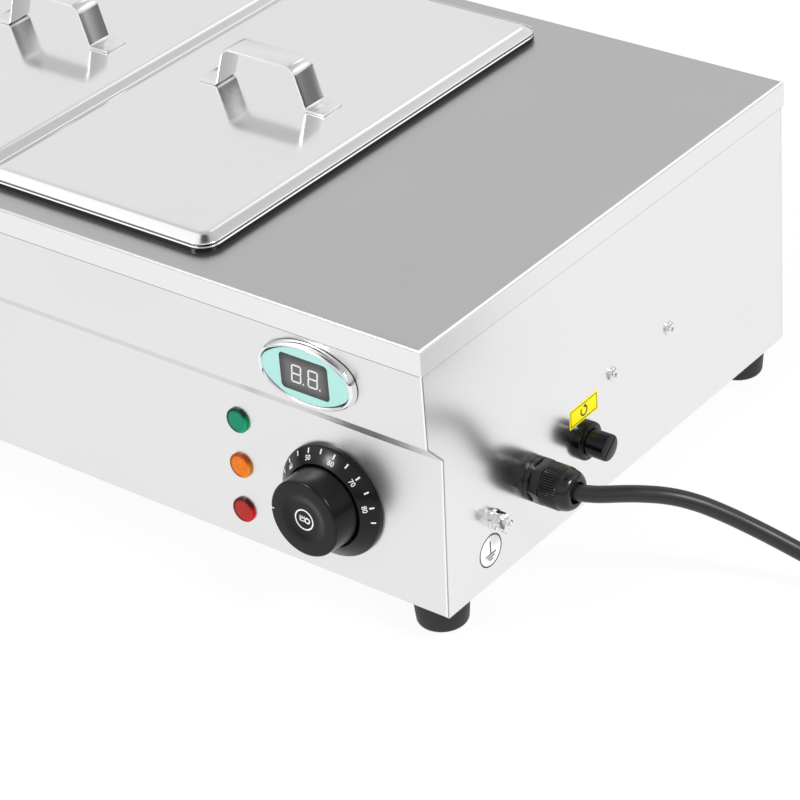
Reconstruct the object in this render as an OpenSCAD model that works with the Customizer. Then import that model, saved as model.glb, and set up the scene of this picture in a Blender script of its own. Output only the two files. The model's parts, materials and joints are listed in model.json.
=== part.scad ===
// Countertop bain-marie: a steel water bath with three lidded pans and a control bay at its right end.
// Millimetres. +X is the right-hand end, +Y the back, +Z up.
// The origin is on the worktop, below the middle of the appliance without its cord.

/* [Pans] */
// Width of one pan over its flange, left to right
pan_w = 176; // [160:1:190]
// Length of one pan over its flange, front to back
pan_l = 325; // [300:1:350]
// Depth of a pan below its flange
pan_depth = 100; // [65:5:110]
// Sheet thickness of pans and lids
pan_sheet = 0.8; // [0.6:0.1:1]
// Width of the pan's flange
flange_w = 11; // [9:0.5:14]
// Height of the flange's turned-down edge
flange_drop = 3; // [2:0.5:5]
// Corner radius of the flange and of the lid on it
flange_r = 12; // [11:0.5:16]
// Corner radius of the pan's wall
wall_r = 22; // [20:1:30]
// Height of the stacking shoulder below the flange
shoulder_drop = 22; // [15:1:30]
// Step of the stacking shoulder
shoulder_step = 2.5; // [1:0.5:4]
// Inward taper of the wall below the shoulder
wall_taper = 3; // [1:0.5:5]
// Gap between neighbouring pans
pan_gap = 0.7; // [0.5:0.1:3]

/* [Lids] */
// Height of the lid's upright edge
lid_edge = 0.8; // [0.7:0.1:3]
// Height of the gap under the lid's edge
lid_gap = 1; // [0.6:0.1:2]
// Width of the lid's sloped border
lid_slope_w = 7; // [4:0.5:8]
// Rise of the lid's sloped border
lid_rise = 4; // [2:0.5:8]
// Length of the lid's handle
handle_l = 100; // [80:1:130]
// Height of the handle above the lid
handle_h = 26; // [22:1:40]
// Width of the handle's strap
handle_w = 18; // [12:1:30]
// Thickness of the handle's strap
handle_t = 1.5; // [1:0.1:2]

/* [Top plate] */
// Sheet thickness of the housing
sheet = 1; // [0.8:0.1:1.2]
// Height of the folded rim
rim_h = 16.5; // [14:0.5:22]
// Outer radius of the rim's fold
fold_r = 2; // [1.5:0.1:3]
// Plate left of the pans
left_margin = 24; // [22:1:60]
// Plate in front of the pans
front_margin = 20; // [18:1:40]
// Plate behind the pans
back_margin = 20; // [16:1:40]
// Plate right of the pans, over the control bay
control_bay = 166; // [150:1:220]

/* [Body] */
// Height of the body from its lower edge to the top plate
body_h = 181.4; // [176:0.2:200]
// Depth of the upright band's lower edge below the top plate
band_h = 64.2; // [62:0.2:70]
// How far the undercut below the band goes back
undercut_d = 12.4; // [8:0.2:16]
// How far the undercut comes down
undercut_h = 13.6; // [10:0.2:16]
// Lean of the control panel, its lower edge towards the user
panel_lean = 3.2; // [1:0.1:5]
// Width of the folded hems under the body
hem_w = 38; // [36:1:42]

/* [Water tank] */
// Depth of the tank below the top plate
tank_depth = 128; // [118:1:132]
// Bottom edge radius of the tank
tank_r = 14; // [8:1:18]
// Depth of the lip folded down round the opening
lip_h = 8; // [5:1:12]
// Width of the tank's flange under the plate
tank_flange = 14; // [10:1:15]
// Diameter of the heating element
element_d = 8; // [6.5:0.5:8.5]
// Distance between the element's runs
element_pitch = 75; // [68:1:80]

/* [Feet] */
// Height of a foot
foot_h = 20; // [15:1:30]
// Diameter of a foot at its top
foot_d = 34; // [28:1:36]
// Distance of a foot's axis from the body's faces
foot_in = 20.5; // [20:0.5:24]

/* [Display] */
// Distance of the display and the knob from the top plate's right edge
control_in = 80.7; // [70:0.1:90]
// Width of the display's oval bezel
bezel_w = 68; // [60:0.5:75]
// Height of the display's oval bezel
bezel_h = 40.4; // [37:0.2:42]
// Width of the bezel's ring
ring_w = 2.8; // [2.4:0.1:4]
// How far the bezel stands out
ring_h = 5.4; // [4.6:0.1:8]
// How far the fascia stands out
fascia_h = 4.2; // [3:0.1:4.5]
// Width of the window
window_w = 34.2; // [28:0.1:36]
// Height of the window
window_h = 22.8; // [18:0.2:24]

/* [Lamps] */
// Distance of the lamps from the top plate's right edge
lamp_in = 149.3; // [136:0.1:150]
// Height of the lowest lamp along the control panel
lamp_first = 21.3; // [16:0.1:22]
// Distance between lamps
lamp_pitch = 30.2; // [24:0.1:31]
// Diameter of a lens
lens_d = 15.1; // [14.5:0.1:20]
// Height of a lens
lens_h = 2.5; // [2.4:0.1:8]

/* [Knob] */
// Height of the knob's axis along the control panel
knob_up = 52.4; // [46:0.2:54]
// Diameter of the dial ring
dial_d = 70.6; // [66:0.2:80]
// Height of the dial ring
dial_h = 9.6; // [7:0.1:12]
// Diameter of the knob
knob_d = 48; // [44:0.2:52]
// How far the knob's face stands from the panel
knob_h = 27.2; // [24:0.2:30]
// Diameter of the thermostat's shaft
shaft_d = 6; // [5:0.5:6.5]

/* [Right side] */
// Distance of the gland from the top plate's front edge
gland_in = 96.2; // [90:0.1:102]
// Depth of the gland's axis below the top plate
gland_down = 136.3; // [130:0.1:138]
// How far the gland stands out of the side
gland_reach = 29.2; // [28.6:0.1:34]
// Size of the gland across its flats
gland_flats = 24; // [23.5:0.5:27]
// Distance of the reset cap from the top plate's front edge
reset_in = 144.8; // [140:0.1:148]
// Depth of the reset cap's axis below the top plate
reset_down = 136.8; // [130:0.1:140]
// How far the reset cap stands out of the side
reset_reach = 18.2; // [16:0.1:20]
// Diameter of the reset cap
cap_d = 16.6; // [14:0.1:18]
// Diameter of the reset collar
collar_d = 24; // [22:0.5:26]
// Distance of the earth stud from the top plate's front edge
earth_in = 56; // [50:0.1:60]
// Depth of the earth stud below the top plate
earth_down = 141.1; // [136:0.1:144]
// How far the earth stud stands out of the side
earth_reach = 12; // [11.4:0.1:18]
// Diameter of the earth stud
earth_d = 6; // [5:0.5:6]
// Distance of the side screw from the top plate's front edge
screw_in = 175.5; // [174:0.5:180]
// Depth of the side screw below the top plate
screw_down = 108.3; // [100:0.1:109]
// Distance from the side screw to its fellow
screw_pitch = 60; // [50:1:70]

/* [Cord] */
// Diameter of the cord
cord_d = 10.2; // [8.6:0.1:10.4]
// Turns of the cord's coil in each of its two layers
coil_turns = 1.8125; // [1.8125:1:2.8125]

/* [Hidden] */
$fn = 48;

// Fits: seam between sheets, seat between resting pieces, running fit, clearance round loose pieces
seam = 0.1;
seat = 0.1;
run_fit = 0.06;
loose = 0.3;
// Margin by which a cutting solid passes the face that it cuts
past = 1;

// Overall sizes
pan_pitch = pan_w + pan_gap;
pan_row = 3 * pan_w + 2 * pan_gap;
deck_w = left_margin + pan_row + control_bay;
deck_d = front_margin + pan_l + back_margin;
wall_clear = 2;
ledge = flange_w - wall_clear;
opening_w = pan_row - 2 * ledge;
opening_d = pan_l - 2 * ledge;
opening_r = 18;

// Control panel, seen from the side, measured from the top plate's front edge
face_in = sheet + seam;
brow_in = face_in + undercut_d;
panel_rise = body_h - band_h - undercut_h;
toe_in = brow_in - panel_rise * tan(panel_lean);

// The top plate's edges, placed so that the origin is at the middle of the whole appliance
front_reach = knob_h * cos(panel_lean) - toe_in - (knob_up - knob_d / 2) * sin(panel_lean);
side_reach = gland_reach - face_in;
x_right = (deck_w - side_reach) / 2;
x_left = x_right - deck_w;
y_front = (front_reach - deck_d) / 2;
y_back = y_front + deck_d;
z_body = foot_h;
z_top = z_body + body_h;
deck_x = (x_left + x_right) / 2;
deck_y = (y_front + y_back) / 2;

// The body's faces, inside the rim
body_right = x_right - face_in;
body_left = x_left + face_in;
body_back = y_back - face_in;
y_face = y_front + face_in;
y_toe = y_front + toe_in;
z_under = z_top - sheet;
// Upper edge of the upright sheets, below the bend of the rim's fold
z_panel = z_top - fold_r;
fold_out = 1.8;

// Pans
pan_y = y_front + front_margin + pan_l / 2;
right_pan_x = x_right - control_bay - pan_w / 2;
opening_x = right_pan_x - pan_pitch;
z_flange = z_top + seat + flange_drop;
wall_w = pan_w - 2 * flange_w;
wall_l = pan_l - 2 * flange_w;
flange_join = 4;
z_lid = z_flange + seat;

// Tank, heating element and sensor bulbs
tank_corner = opening_r + sheet + loose;
tank_w = opening_w + 2 * (sheet + loose);
tank_d = opening_d + 2 * (sheet + loose);
tank_right = opening_x + tank_w / 2 + sheet;
z_tank = z_under - tank_depth - sheet;
z_element = z_tank - seam - element_d / 2;
element_left = opening_x - 190;
element_right = tank_right - 61;
terminal_reach = 32;
terminal_pin = 15;
clamp_x = 150;
clamp_w = 14;
clamp_t = 2;
z_clamp = z_element - element_d / 2 - seam - clamp_t;
stud_r = 2;
nut_h = 3.2;
bulb_d = element_d - 0.2;
bulb_l = 90;
bulb_y = 15;
bulb_x = opening_x + clamp_x - 40;
capillary_d = 2;

// Holes in the sheets for screws, lamps, shaft and stud
thermostat_pitch = 28;
m4 = 4;
m4_hole = m4 + 0.3;
lamp_body_d = 10.8;
lamp_hole = lamp_body_d + 0.4;
bush_d = 9.6;
bush_hole = bush_d + 0.6;
gland_thread = 19.8;
gland_hole = gland_thread + 0.4;
earth_hole = earth_d + 0.4;
display_w = 46;
display_h = 25;
display_gap = 0.5;
display_z = z_top - (rim_h + band_h) / 2;
control_x = x_right - control_in;
lamp_x = x_right - lamp_in;

// Cord route from inside the gland to the coil: steps right, back and up from the middle of the gland's nose
gland_z = z_top - gland_down;
nose_x = body_right + gland_reach;
nose_y = y_front + gland_in;
cord_start = 25;
cord_drop = cord_d * 0.68 - gland_z;
cord_route = [
    [-cord_start, 0, 0], [-17, 0, 0], [-9, 0, 0], [0, 1, 0], [8.4, 4, 0], [14.4, 7.6, 0], [22.5, 13.4, -0.1],
    [31, 19.5, -0.7], [43, 28.4, -3.1], [55, 37, -8], [67, 45.2, -15.2], [79.5, 53, -23.6], [93, 60, -32.2],
    [107.5, 65.8, -40.4], [123, 70.2, -47.4], [139, 73.4, -52.8], [155, 75.6, -56.4], [171, 77.2, -58],
    [189, 78.8, cord_drop], [207, 80.4, cord_drop], [225, 82, cord_drop]
];
cord_path = [for (p = cord_route) [nose_x, nose_y, gland_z] + p];
coil_heading = 5;
coil_step = 11.2;
coil_layer = 10.8;
coil_mid_r = 53;
coil_dip = 1.6;
coil_rings = 24;
coil_out_r = coil_mid_r + coil_step * coil_turns / 2;
cord_end = cord_path[len(cord_path) - 1];
coil_lead = cord_d;
plug_lead = 2 * cord_d;
coil_start = cord_end + coil_lead * [cos(coil_heading), sin(coil_heading), 0];
coil_centre = coil_start + coil_out_r * [-sin(coil_heading), cos(coil_heading), 0];
coil_end_angle = coil_heading - 90 + 360 * (2 * coil_turns + 0.5);
tie_angle = coil_heading + 90;
tie_w = 9;
tie_t = 1.2;
plug_r = 16.6;
plug_l = 36;
relief_l = 30;
pin_l = 19;
pin_pitch = 19;
pin_d = 4.8;

// Finishes
steel = "gainsboro";
polished = "whitesmoke";
black = "#242424";

// A vector of length one
function unit(v) = v / norm(v);

// Points that round the corner q between p and s with radius r
function bend(p, q, s, r, n) =
    let (a = unit(p - q),
         b = unit(s - q),
         half = acos(a * b) / 2,
         centre = q + unit(a + b) * r / sin(half),
         from = q + a * r / tan(half) - centre,
         to = q + b * r / tan(half) - centre,
         start = atan2(from.y, from.x),
         turn = (atan2(to.y, to.x) - start + 900) % 360 - 180)
    [for (i = [0 : n]) centre + r * [cos(start + turn * i / n), sin(start + turn * i / n)]];

// A path with its inner corners rounded, one radius for each
function rounded(path, radii, n = 4) = concat(
    [path[0]],
    [for (i = [1 : len(path) - 2]) each bend(path[i - 1], path[i], path[i + 1], radii[i - 1], n)],
    [path[len(path) - 1]]);

// The sideways step at point i that keeps a sheet's thickness round a bend
function mitre(path, i) =
    let (last = len(path) - 1,
         before = max(i, 1),
         after = min(i, last - 1),
         d0 = unit(path[before] - path[before - 1]),
         d1 = unit(path[after + 1] - path[after]),
         n0 = [-d0.y, d0.x],
         n1 = [-d1.y, d1.x])
    (n0 + n1) / (1 + n0 * n1);

// A path moved sideways to its left, and the outline of a sheet that lies between the two
function beside(path, t) = [for (i = [0 : len(path) - 1]) path[i] + t * mitre(path, i)];
function strip(path, t) =
    let (other = beside(path, t))
    concat(path, [for (i = [len(path) - 1 : -1 : 0]) other[i]]);

// An oval of four arcs: the radius of its long sides, where its arcs meet, and its points
function oval_side_r(a, b, r) = (a * a + b * b - 2 * a * r) / (2 * (b - r));
function oval_meet(a, b, r) = atan2(oval_side_r(a, b, r) - b, a - r);
function oval_point(a, b, r, angle) =
    let (meet = oval_meet(a, b, r),
         big = oval_side_r(a, b, r))
    angle <= meet ? [a - r + r * cos(angle), r * sin(angle)] : [big * cos(angle), b - big + big * sin(angle)];
function oval(a, b, r, n = 16) =
    let (quarter = [for (i = [0 : n]) oval_point(a, b, r, 90 * i / n)])
    concat(
        quarter,
        [for (i = [n - 1 : -1 : 0]) [-quarter[i].x, quarter[i].y]],
        [for (i = [1 : n]) -quarter[i]],
        [for (i = [n - 1 : -1 : 1]) [quarter[i].x, -quarter[i].y]]);

// Places on the control panel, the band and the right side: local Z points out of the sheet
module on_panel(x, up) {
    translate([x, y_toe, z_body]) rotate([90 - panel_lean, 0, 0]) translate([0, up, 0]) children();
}
module on_band(x, z) {
    translate([x, y_face, z]) rotate([90, 0, 0]) children();
}
module on_side(in, down) {
    translate([body_right, y_front + in, z_top - down]) rotate([90, 0, 90]) children();
}
module on_lamps() {
    for (i = [0 : 2]) on_panel(lamp_x, lamp_first + i * lamp_pitch) children();
}

// A rectangle with round corners
module round_rect(w, d, r) {
    square([w - 2 * r, d], center = true);
    square([w, d - 2 * r], center = true);
    for (x = [-1, 1], y = [-1, 1]) translate([x * (w / 2 - r), y * (d / 2 - r)]) circle(r);
}

// A profile swept round a rectangle with round corners; its x runs outwards from the corner's centre
module around(w, d, r) {
    for (c = [[1, 1, 0], [-1, 1, 90], [-1, -1, 180], [1, -1, 270]])
        translate([c.x * (w / 2 - r), c.y * (d / 2 - r), 0])
            rotate([0, 0, c.z]) rotate_extrude(angle = 90) children();
    for (s = [[0, w, d], [90, d, w], [180, w, d], [270, d, w]])
        rotate([0, 0, s[0]]) translate([s[1] / 2 - r, 0, 0])
            rotate([90, 0, 0]) linear_extrude(height = s[2] - 2 * r, center = true) children();
}

// A pressed sheet: a wall profile round a rectangle, closed by a flat floor or top at the profile's end
module pressed(w, d, r, path, t) {
    around(w, d, r) polygon(strip(path, t));
    translate([r - w / 2, r - d / 2, path[len(path) - 1].y - t]) cube([w - 2 * r, d - 2 * r, t]);
}

// A block whose four upper edges are folded over a radius
module rounded_top(w, h, r) {
    translate([-w / 2, 0]) square([w, h - r]);
    translate([r - w / 2, 0]) square([w - 2 * r, h]);
    for (s = [-1, 1]) translate([s * (w / 2 - r), h - r]) circle(r);
}
module folded_block(w, d, h, r) {
    intersection() {
        rotate([90, 0, 0]) linear_extrude(height = d + 2 * past, center = true) rounded_top(w, h, r);
        rotate([90, 0, 90]) linear_extrude(height = w + 2 * past, center = true) rounded_top(d, h, r);
    }
}

// Fasteners: a hex nut and a pan-head screw, both standing on z = 0
module hex_nut(flats, h, bore) {
    difference() {
        cylinder(d = flats / cos(30), h = h, $fn = 6);
        translate([0, 0, -past]) cylinder(d = bore, h = h + 2 * past);
    }
}
module pan_screw(d, l, head_d, head_h) {
    rotate_extrude() polygon([
        [0, -l], [d / 2, -l], [d / 2, 0], [head_d / 2, 0], [head_d / 2, head_h * 0.5],
        [head_d * 0.38, head_h * 0.9], [head_d * 0.2, head_h], [0, head_h]]);
}

// Triangles between so many rings of points, each joined to the next by its sides
function ring_walls(rings, sides, closed) = [
    for (i = [0 : rings - (closed ? 1 : 2)], k = [0 : sides - 1])
        let (j = (i + 1) % rings,
             next = (k + 1) % sides,
             a = i * sides + k,
             d = j * sides + next)
        each [[a, d, i * sides + next], [a, j * sides + k, d]]];

// A round tube along points, of one diameter or of one for each point
function ring(path, i, d, sides, ref) =
    let (last = len(path) - 1,
         along = unit(path[min(i + 1, last)] - path[max(i - 1, 0)]),
         side = unit(cross(along, ref)),
         up = cross(side, along),
         r = (is_list(d) ? d[i] : d) / 2)
    [for (k = [0 : sides - 1]) path[i] + r * (cos(360 * k / sides) * up - sin(360 * k / sides) * side)];
module tube(path, d, sides, ref = [0, 0, 1]) {
    n = len(path);
    end = (n - 1) * sides;
    polyhedron([for (i = [0 : n - 1]) each ring(path, i, d, sides, ref)], concat(
        ring_walls(n, sides, false),
        [for (k = [1 : sides - 2]) [0, k, k + 1]],
        [for (k = [1 : sides - 2]) [end, end + k + 1, end + k]]));
}

// A ring lofted round an oval from a profile, whose x runs outwards from the oval
module oval_ring(a, b, r, profile) {
    ovals = [for (p = profile) oval(a + p.x, b + p.x, r + p.x)];
    n = len(ovals[0]);
    polyhedron(
        [for (i = [0 : n - 1], k = [0 : len(profile) - 1]) [ovals[k][i].x, ovals[k][i].y, profile[k].y]],
        ring_walls(n, len(profile), true));
}

// Housing

module top_plate() {
    color("silver") {
        translate([deck_x, deck_y, z_top - rim_h]) difference() {
            folded_block(deck_w, deck_d, rim_h, fold_r);
            translate([0, 0, -past])
                folded_block(deck_w - 2 * sheet, deck_d - 2 * sheet, rim_h - sheet + past, fold_r - sheet);
            translate([opening_x - deck_x, pan_y - deck_y, 0])
                linear_extrude(height = rim_h + past) round_rect(opening_w, opening_d, opening_r);
        }
        translate([opening_x, pan_y, z_under - lip_h]) linear_extrude(height = lip_h) difference() {
            round_rect(opening_w + 2 * sheet, opening_d + 2 * sheet, opening_r + sheet);
            round_rect(opening_w, opening_d, opening_r);
        }
    }
}

// The front sheet's outer face from the top plate down to its hem, in [y, z]
front_line = [[y_face, z_panel], [y_face, z_top - band_h], [y_front + brow_in, z_top - band_h - undercut_h],
    [y_toe, z_body]];
front_path = rounded(concat(front_line, [[y_toe + hem_w, z_body]]), [fold_out, fold_out, fold_out]);

// The corners of a sheet's hem, cut away where the side panels pass
module hem_corners(y) {
    for (x = [body_left - past, body_right - sheet - seam])
        translate([x, y, z_body - past]) cube([sheet + seam + past, hem_w, fold_out + 2 * past]);
}

module front_panel() {
    color(steel) difference() {
        translate([body_left, 0, 0]) rotate([90, 0, 90])
            linear_extrude(height = body_right - body_left) polygon(strip(front_path, sheet));
        hem_corners(y_toe + sheet + seam);
        on_lamps() translate([0, 0, -2 * sheet]) cylinder(d = lamp_hole, h = 3 * sheet);
        on_panel(control_x, knob_up) translate([0, 0, -2 * sheet]) {
            cylinder(d = bush_hole, h = 3 * sheet);
            for (s = [-1, 1]) translate([s * thermostat_pitch / 2, 0, 0]) cylinder(d = m4_hole, h = 3 * sheet);
        }
        on_band(control_x, display_z)
            cube([display_w + 2 * display_gap, display_h + 2 * display_gap, 4 * sheet], center = true);
        foot_places() translate([0, 0, z_body - past]) cylinder(d = foot_screw_d + 0.4, h = 2 * past + sheet);
    }
}

module back_panel() {
    path = rounded([[body_back, z_panel], [body_back, z_body], [body_back - hem_w, z_body]], [fold_out]);
    color(steel) difference() {
        translate([body_left, 0, 0]) rotate([90, 0, 90])
            linear_extrude(height = body_right - body_left) polygon(strip(path, -sheet));
        hem_corners(body_back - sheet - seam - hem_w);
        foot_places() translate([0, 0, z_body - past]) cylinder(d = foot_screw_d + 0.4, h = 2 * past + sheet);
    }
}

// A side panel in its own plane, its front edge behind the front sheet; its thickness and hem lie towards -x
side_path = beside(rounded(front_line, [fold_out, fold_out]), sheet + seam);
side_toe = [y_toe + (sheet + seam) / cos(panel_lean), z_body];
side_line = concat([for (i = [0 : len(side_path) - 2]) side_path[i]], [side_toe]);
side_back = body_back - sheet - seam;
module side_sheet() {
    translate([-sheet, 0, 0]) rotate([90, 0, 90]) linear_extrude(height = sheet)
        polygon(concat(side_line, [[side_back, z_body], [side_back, z_panel]]));
    hem_from = y_toe + hem_w + seam;
    translate([-hem_w / 2, hem_from, z_body])
        cube([hem_w / 2 - sheet / 2, body_back - hem_w - seam - hem_from, sheet]);
}

module right_side_panel() {
    color(steel) difference() {
        translate([body_right, 0, 0]) side_sheet();
        on_side(gland_in, gland_down) side_hole(gland_hole);
        on_side(reset_in, reset_down) side_hole(bush_hole);
        on_side(earth_in, earth_down) side_hole(earth_hole);
        for (s = [0, 1]) on_side(screw_in + s * screw_pitch, screw_down) side_hole(m4_hole);
    }
}
module side_hole(d) {
    translate([0, 0, -2 * sheet]) cylinder(d = d, h = 3 * sheet);
}

module left_side_panel() {
    color(steel) translate([body_left, 0, 0]) mirror([1, 0, 0]) side_sheet();
}

module base_plate() {
    edge = sheet + loose;
    front = y_toe + sheet + fold_out;
    back = body_back - sheet - fold_out;
    slot_l = 40;
    slot_w = 4;
    color(steel) difference() {
        translate([body_left + edge, front, z_body + sheet])
            cube([body_right - body_left - 2 * edge, back - front, sheet]);
        foot_places() translate([0, 0, z_body]) cylinder(d = foot_screw_d + 0.4, h = 3 * sheet);
        for (x = [x_left + control_bay, x_right - control_bay / 2], i = [-3 : 3])
            translate([x, pan_y + i * 3 * slot_w, z_body]) linear_extrude(height = 3 * sheet)
                round_rect(slot_l, slot_w, slot_w / 2 - 0.01);
    }
}

// Feet, in from the corners of the body
foot_screw_d = 5;
foot_head_d = 9.5;
foot_well_d = 12;
foot_well_h = foot_h * 0.45;
foot_xs = [body_left + foot_in, body_right - foot_in];
foot_ys = [y_toe + foot_in, body_back - foot_in];
module foot_places() {
    for (x = foot_xs, y = foot_ys) translate([x, y, 0]) children();
}
module foot(x, y) {
    taper = 1.5;
    round = 3;
    outline = rounded([[0, 0], [foot_d / 2 - taper, 0], [foot_d / 2, foot_h], [0, foot_h]], [round, 0.8], 5);
    color(black) translate([x, y, 0]) difference() {
        rotate_extrude() polygon(outline);
        translate([0, 0, -past]) cylinder(d = foot_well_d, h = foot_well_h + past);
        cylinder(d = foot_screw_d + 0.4, h = foot_h + past);
    }
}
module foot_front_left() { foot(foot_xs[0], foot_ys[0]); }
module foot_front_right() { foot(foot_xs[1], foot_ys[0]); }
module foot_back_left() { foot(foot_xs[0], foot_ys[1]); }
module foot_back_right() { foot(foot_xs[1], foot_ys[1]); }
module foot_screws() {
    shank = foot_h - foot_well_h + 2 * sheet + 6;
    color(polished) foot_places() translate([0, 0, foot_well_h]) mirror([0, 0, 1])
        pan_screw(foot_screw_d, shank, foot_head_d, 3);
}
module foot_nuts() {
    color(polished) foot_places() translate([0, 0, z_body + 2 * sheet])
        hex_nut(8, 4, foot_screw_d + 2 * run_fit);
}

// Water tank and heating

module on_studs() {
    for (x = [-clamp_x, clamp_x], y = [-1, 0, 1])
        translate([opening_x + x, pan_y + y * element_pitch, 0]) children();
}

module water_tank() {
    path = rounded([[tank_corner + tank_flange, 0], [tank_corner, 0], [tank_corner, -tank_depth],
        [0, -tank_depth]], [fold_r, tank_r]);
    color(polished) {
        translate([opening_x, pan_y, z_under])
            pressed(tank_w, tank_d, tank_corner, path, sheet);
        on_studs() translate([0, 0, z_clamp - 8]) cylinder(r = stud_r, h = z_tank + sheet / 2 - z_clamp + 8);
    }
}

// The element lies in four runs joined by half turns, with a thinner pin at each end
function half_turn(x, y, from, turn, n = 8) = [for (i = [0 : n])
    let (angle = from + turn * i / n)
    [x + element_pitch / 2 * cos(angle), pan_y + y + element_pitch / 2 * sin(angle), z_element]];
module heating_element() {
    end = tank_right + terminal_reach;
    near = [end, pan_y - 1.5 * element_pitch, z_element];
    far = [end, pan_y + 1.5 * element_pitch, z_element];
    pin = [terminal_pin, 0, 0];
    run = concat(
        half_turn(element_left, -element_pitch, 270, -180),
        half_turn(element_right, 0, -90, 180),
        half_turn(element_left, element_pitch, 270, -180));
    wide = [for (i = [0 : len(run) + 1]) element_d];
    thin = [element_d / 2, element_d / 2];
    color("dimgray")
        tube(concat([near + pin, near, near], run, [far, far, far + pin]), concat(thin, wide, thin), 10);
}

module element_clamps() {
    length = 3 * element_pitch + 2 * element_d;
    color(steel) for (s = [-1, 1]) difference() {
        translate([opening_x + s * clamp_x - clamp_w / 2, pan_y - length / 2, z_clamp])
            cube([clamp_w, length, clamp_t]);
        on_studs() translate([0, 0, z_clamp - past]) cylinder(r = stud_r + 0.2, h = clamp_t + 2 * past);
    }
}
module clamp_nuts() {
    color(polished) on_studs() translate([0, 0, z_clamp - nut_h]) hex_nut(7, nut_h, 2 * (stud_r + run_fit));
}

// A sensor bulb under the tank with its capillary led on to the given point
module bulb(y, to) {
    z = z_tank - seam - bulb_d / 2;
    end = bulb_x + bulb_l;
    tip = 2;
    body = [[bulb_x, y, z], [bulb_x + tip, y, z], [end - tip, y, z], [end, y, z]];
    drop = z - z_clamp + 2 * element_d;
    from = [tank_right + bulb_d, y, z - drop];
    lead = [[end + bulb_d, y, z - drop / 4], [end + 3 * bulb_d, y, z - drop / 2], from];
    line = concat(lead, [for (u = [0.35, 0.7, 1])
        [from.x + (to.x - from.x) * u, from.y + (to.y - from.y) * u * u, from.z + (to.z - from.z) * u * u]]);
    tube(concat(body, line),
        concat([bulb_d / 2, bulb_d, bulb_d, capillary_d], [for (p = line) capillary_d]), 10, [0.3, 0.2, 1]);
}

// Thermostat behind the control panel, with the knob on its shaft

neck_l = 6;
box_w = 36;
box_h = 24;
module control_box(pitch, plate_w) {
    difference() {
        union() {
            translate([-plate_w / 2, -12, -sheet - 1.5]) cube([plate_w, 24, 1.5]);
            translate([0, 0, -sheet - neck_l]) cylinder(d = 16, h = neck_l);
            translate([-box_w / 2, -box_w / 2, -sheet - neck_l - box_h]) cube([box_w, box_w, box_h]);
            translate([0, 0, -sheet - past]) cylinder(d = bush_d, h = sheet + past + 1.5);
        }
        for (s = [-1, 1]) translate([s * pitch / 2, 0, -sheet - 3]) cylinder(d = m4 + 2 * run_fit, h = 4);
        translate([0, 0, -sheet - neck_l - box_h / 2])
            cylinder(d = shaft_d + 2 * run_fit, h = neck_l + box_h + 2 * past);
    }
}
module thermostat_body() {
    color("lightgray") on_panel(control_x, knob_up) control_box(thermostat_pitch, thermostat_pitch + 12);
}
module thermostat_screws() {
    color(polished) on_panel(control_x, knob_up)
        for (s = [-1, 1]) translate([s * thermostat_pitch / 2, 0, 0]) pan_screw(m4, 4, 7, 2.4);
}

// The shaft's flat, and the room above the floor of the thermostat's bore
shaft_flat = shaft_d * 0.27;
shaft_from = -sheet - neck_l - box_h / 2 + loose;
shaft_to = knob_h - 7;
module shaft_shape(d, from, to) {
    difference() {
        translate([0, 0, from]) cylinder(d = d, h = to - from);
        translate([-d, shaft_flat + (d - shaft_d) / 2, knob_base + 1.5]) cube([2 * d, d, to - knob_base]);
    }
}
module thermostat_shaft() {
    color("silver") on_panel(control_x, knob_up) shaft_shape(shaft_d, shaft_from, shaft_to);
}
module thermostat_bulb() {
    behind = sheet + neck_l + box_h + capillary_d / 2;
    color("peru") bulb(pan_y - bulb_y, [control_x,
        y_toe + knob_up * sin(panel_lean) + behind * cos(panel_lean),
        z_body + knob_up * cos(panel_lean) - behind * sin(panel_lean)]);
}

// Dial ring and knob, revolved round the shaft

dial_in_r = 20;
groove_r = knob_d / 2 + 2;
dial_floor = 2.4;
dial_edge = 3.8;
knob_base = 3;
knob_wall = 2.6;
module dial_ring() {
    r = dial_d / 2;
    color(black) on_panel(control_x, knob_up) rotate_extrude() polygon([
        [dial_in_r, 0], [r, 0], [r, dial_edge * 0.6], [r - 0.5, dial_edge * 0.85], [r - 0.8, dial_edge],
        [groove_r + 0.5, dial_h], [groove_r, dial_h - 0.4], [groove_r, dial_floor], [dial_in_r, dial_floor]]);
}

module knob() {
    r = knob_d / 2;
    dish_r = r * 0.65;
    dish = 1.4;
    boss_r = 7.6;
    hub_r = shaft_d / 2 + 3;
    ceiling = knob_h - 6;
    outline = concat(
        [[r - knob_wall, knob_base], [r, knob_base], [r, knob_h - 1.6]],
        bend([r, 0], [r, knob_h], [0, knob_h], 1.5, 4),
        [[dish_r, knob_h], [dish_r - 0.8, knob_h - dish * 0.3], [boss_r + 1.4, knob_h - dish],
         [boss_r + 0.5, knob_h - dish * 0.8], [boss_r, knob_h - dish * 0.2], [0, knob_h - dish * 0.1],
         [0, ceiling], [r - knob_wall - 1, ceiling]]);
    color(black) on_panel(control_x, knob_up) {
        difference() {
            union() {
                rotate_extrude() polygon(outline);
                translate([0, 0, knob_base + 1]) cylinder(r = hub_r, h = ceiling - knob_base);
            }
            shaft_shape(shaft_d + 2 * run_fit, 0, shaft_to + seat);
            translate([-r - past, -0.5, knob_h - 3]) cube([3 + past, 1, 3 + past]);
        }
    }
}

// Limit thermostat on the right side, with its collar, button and screw cap

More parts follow.
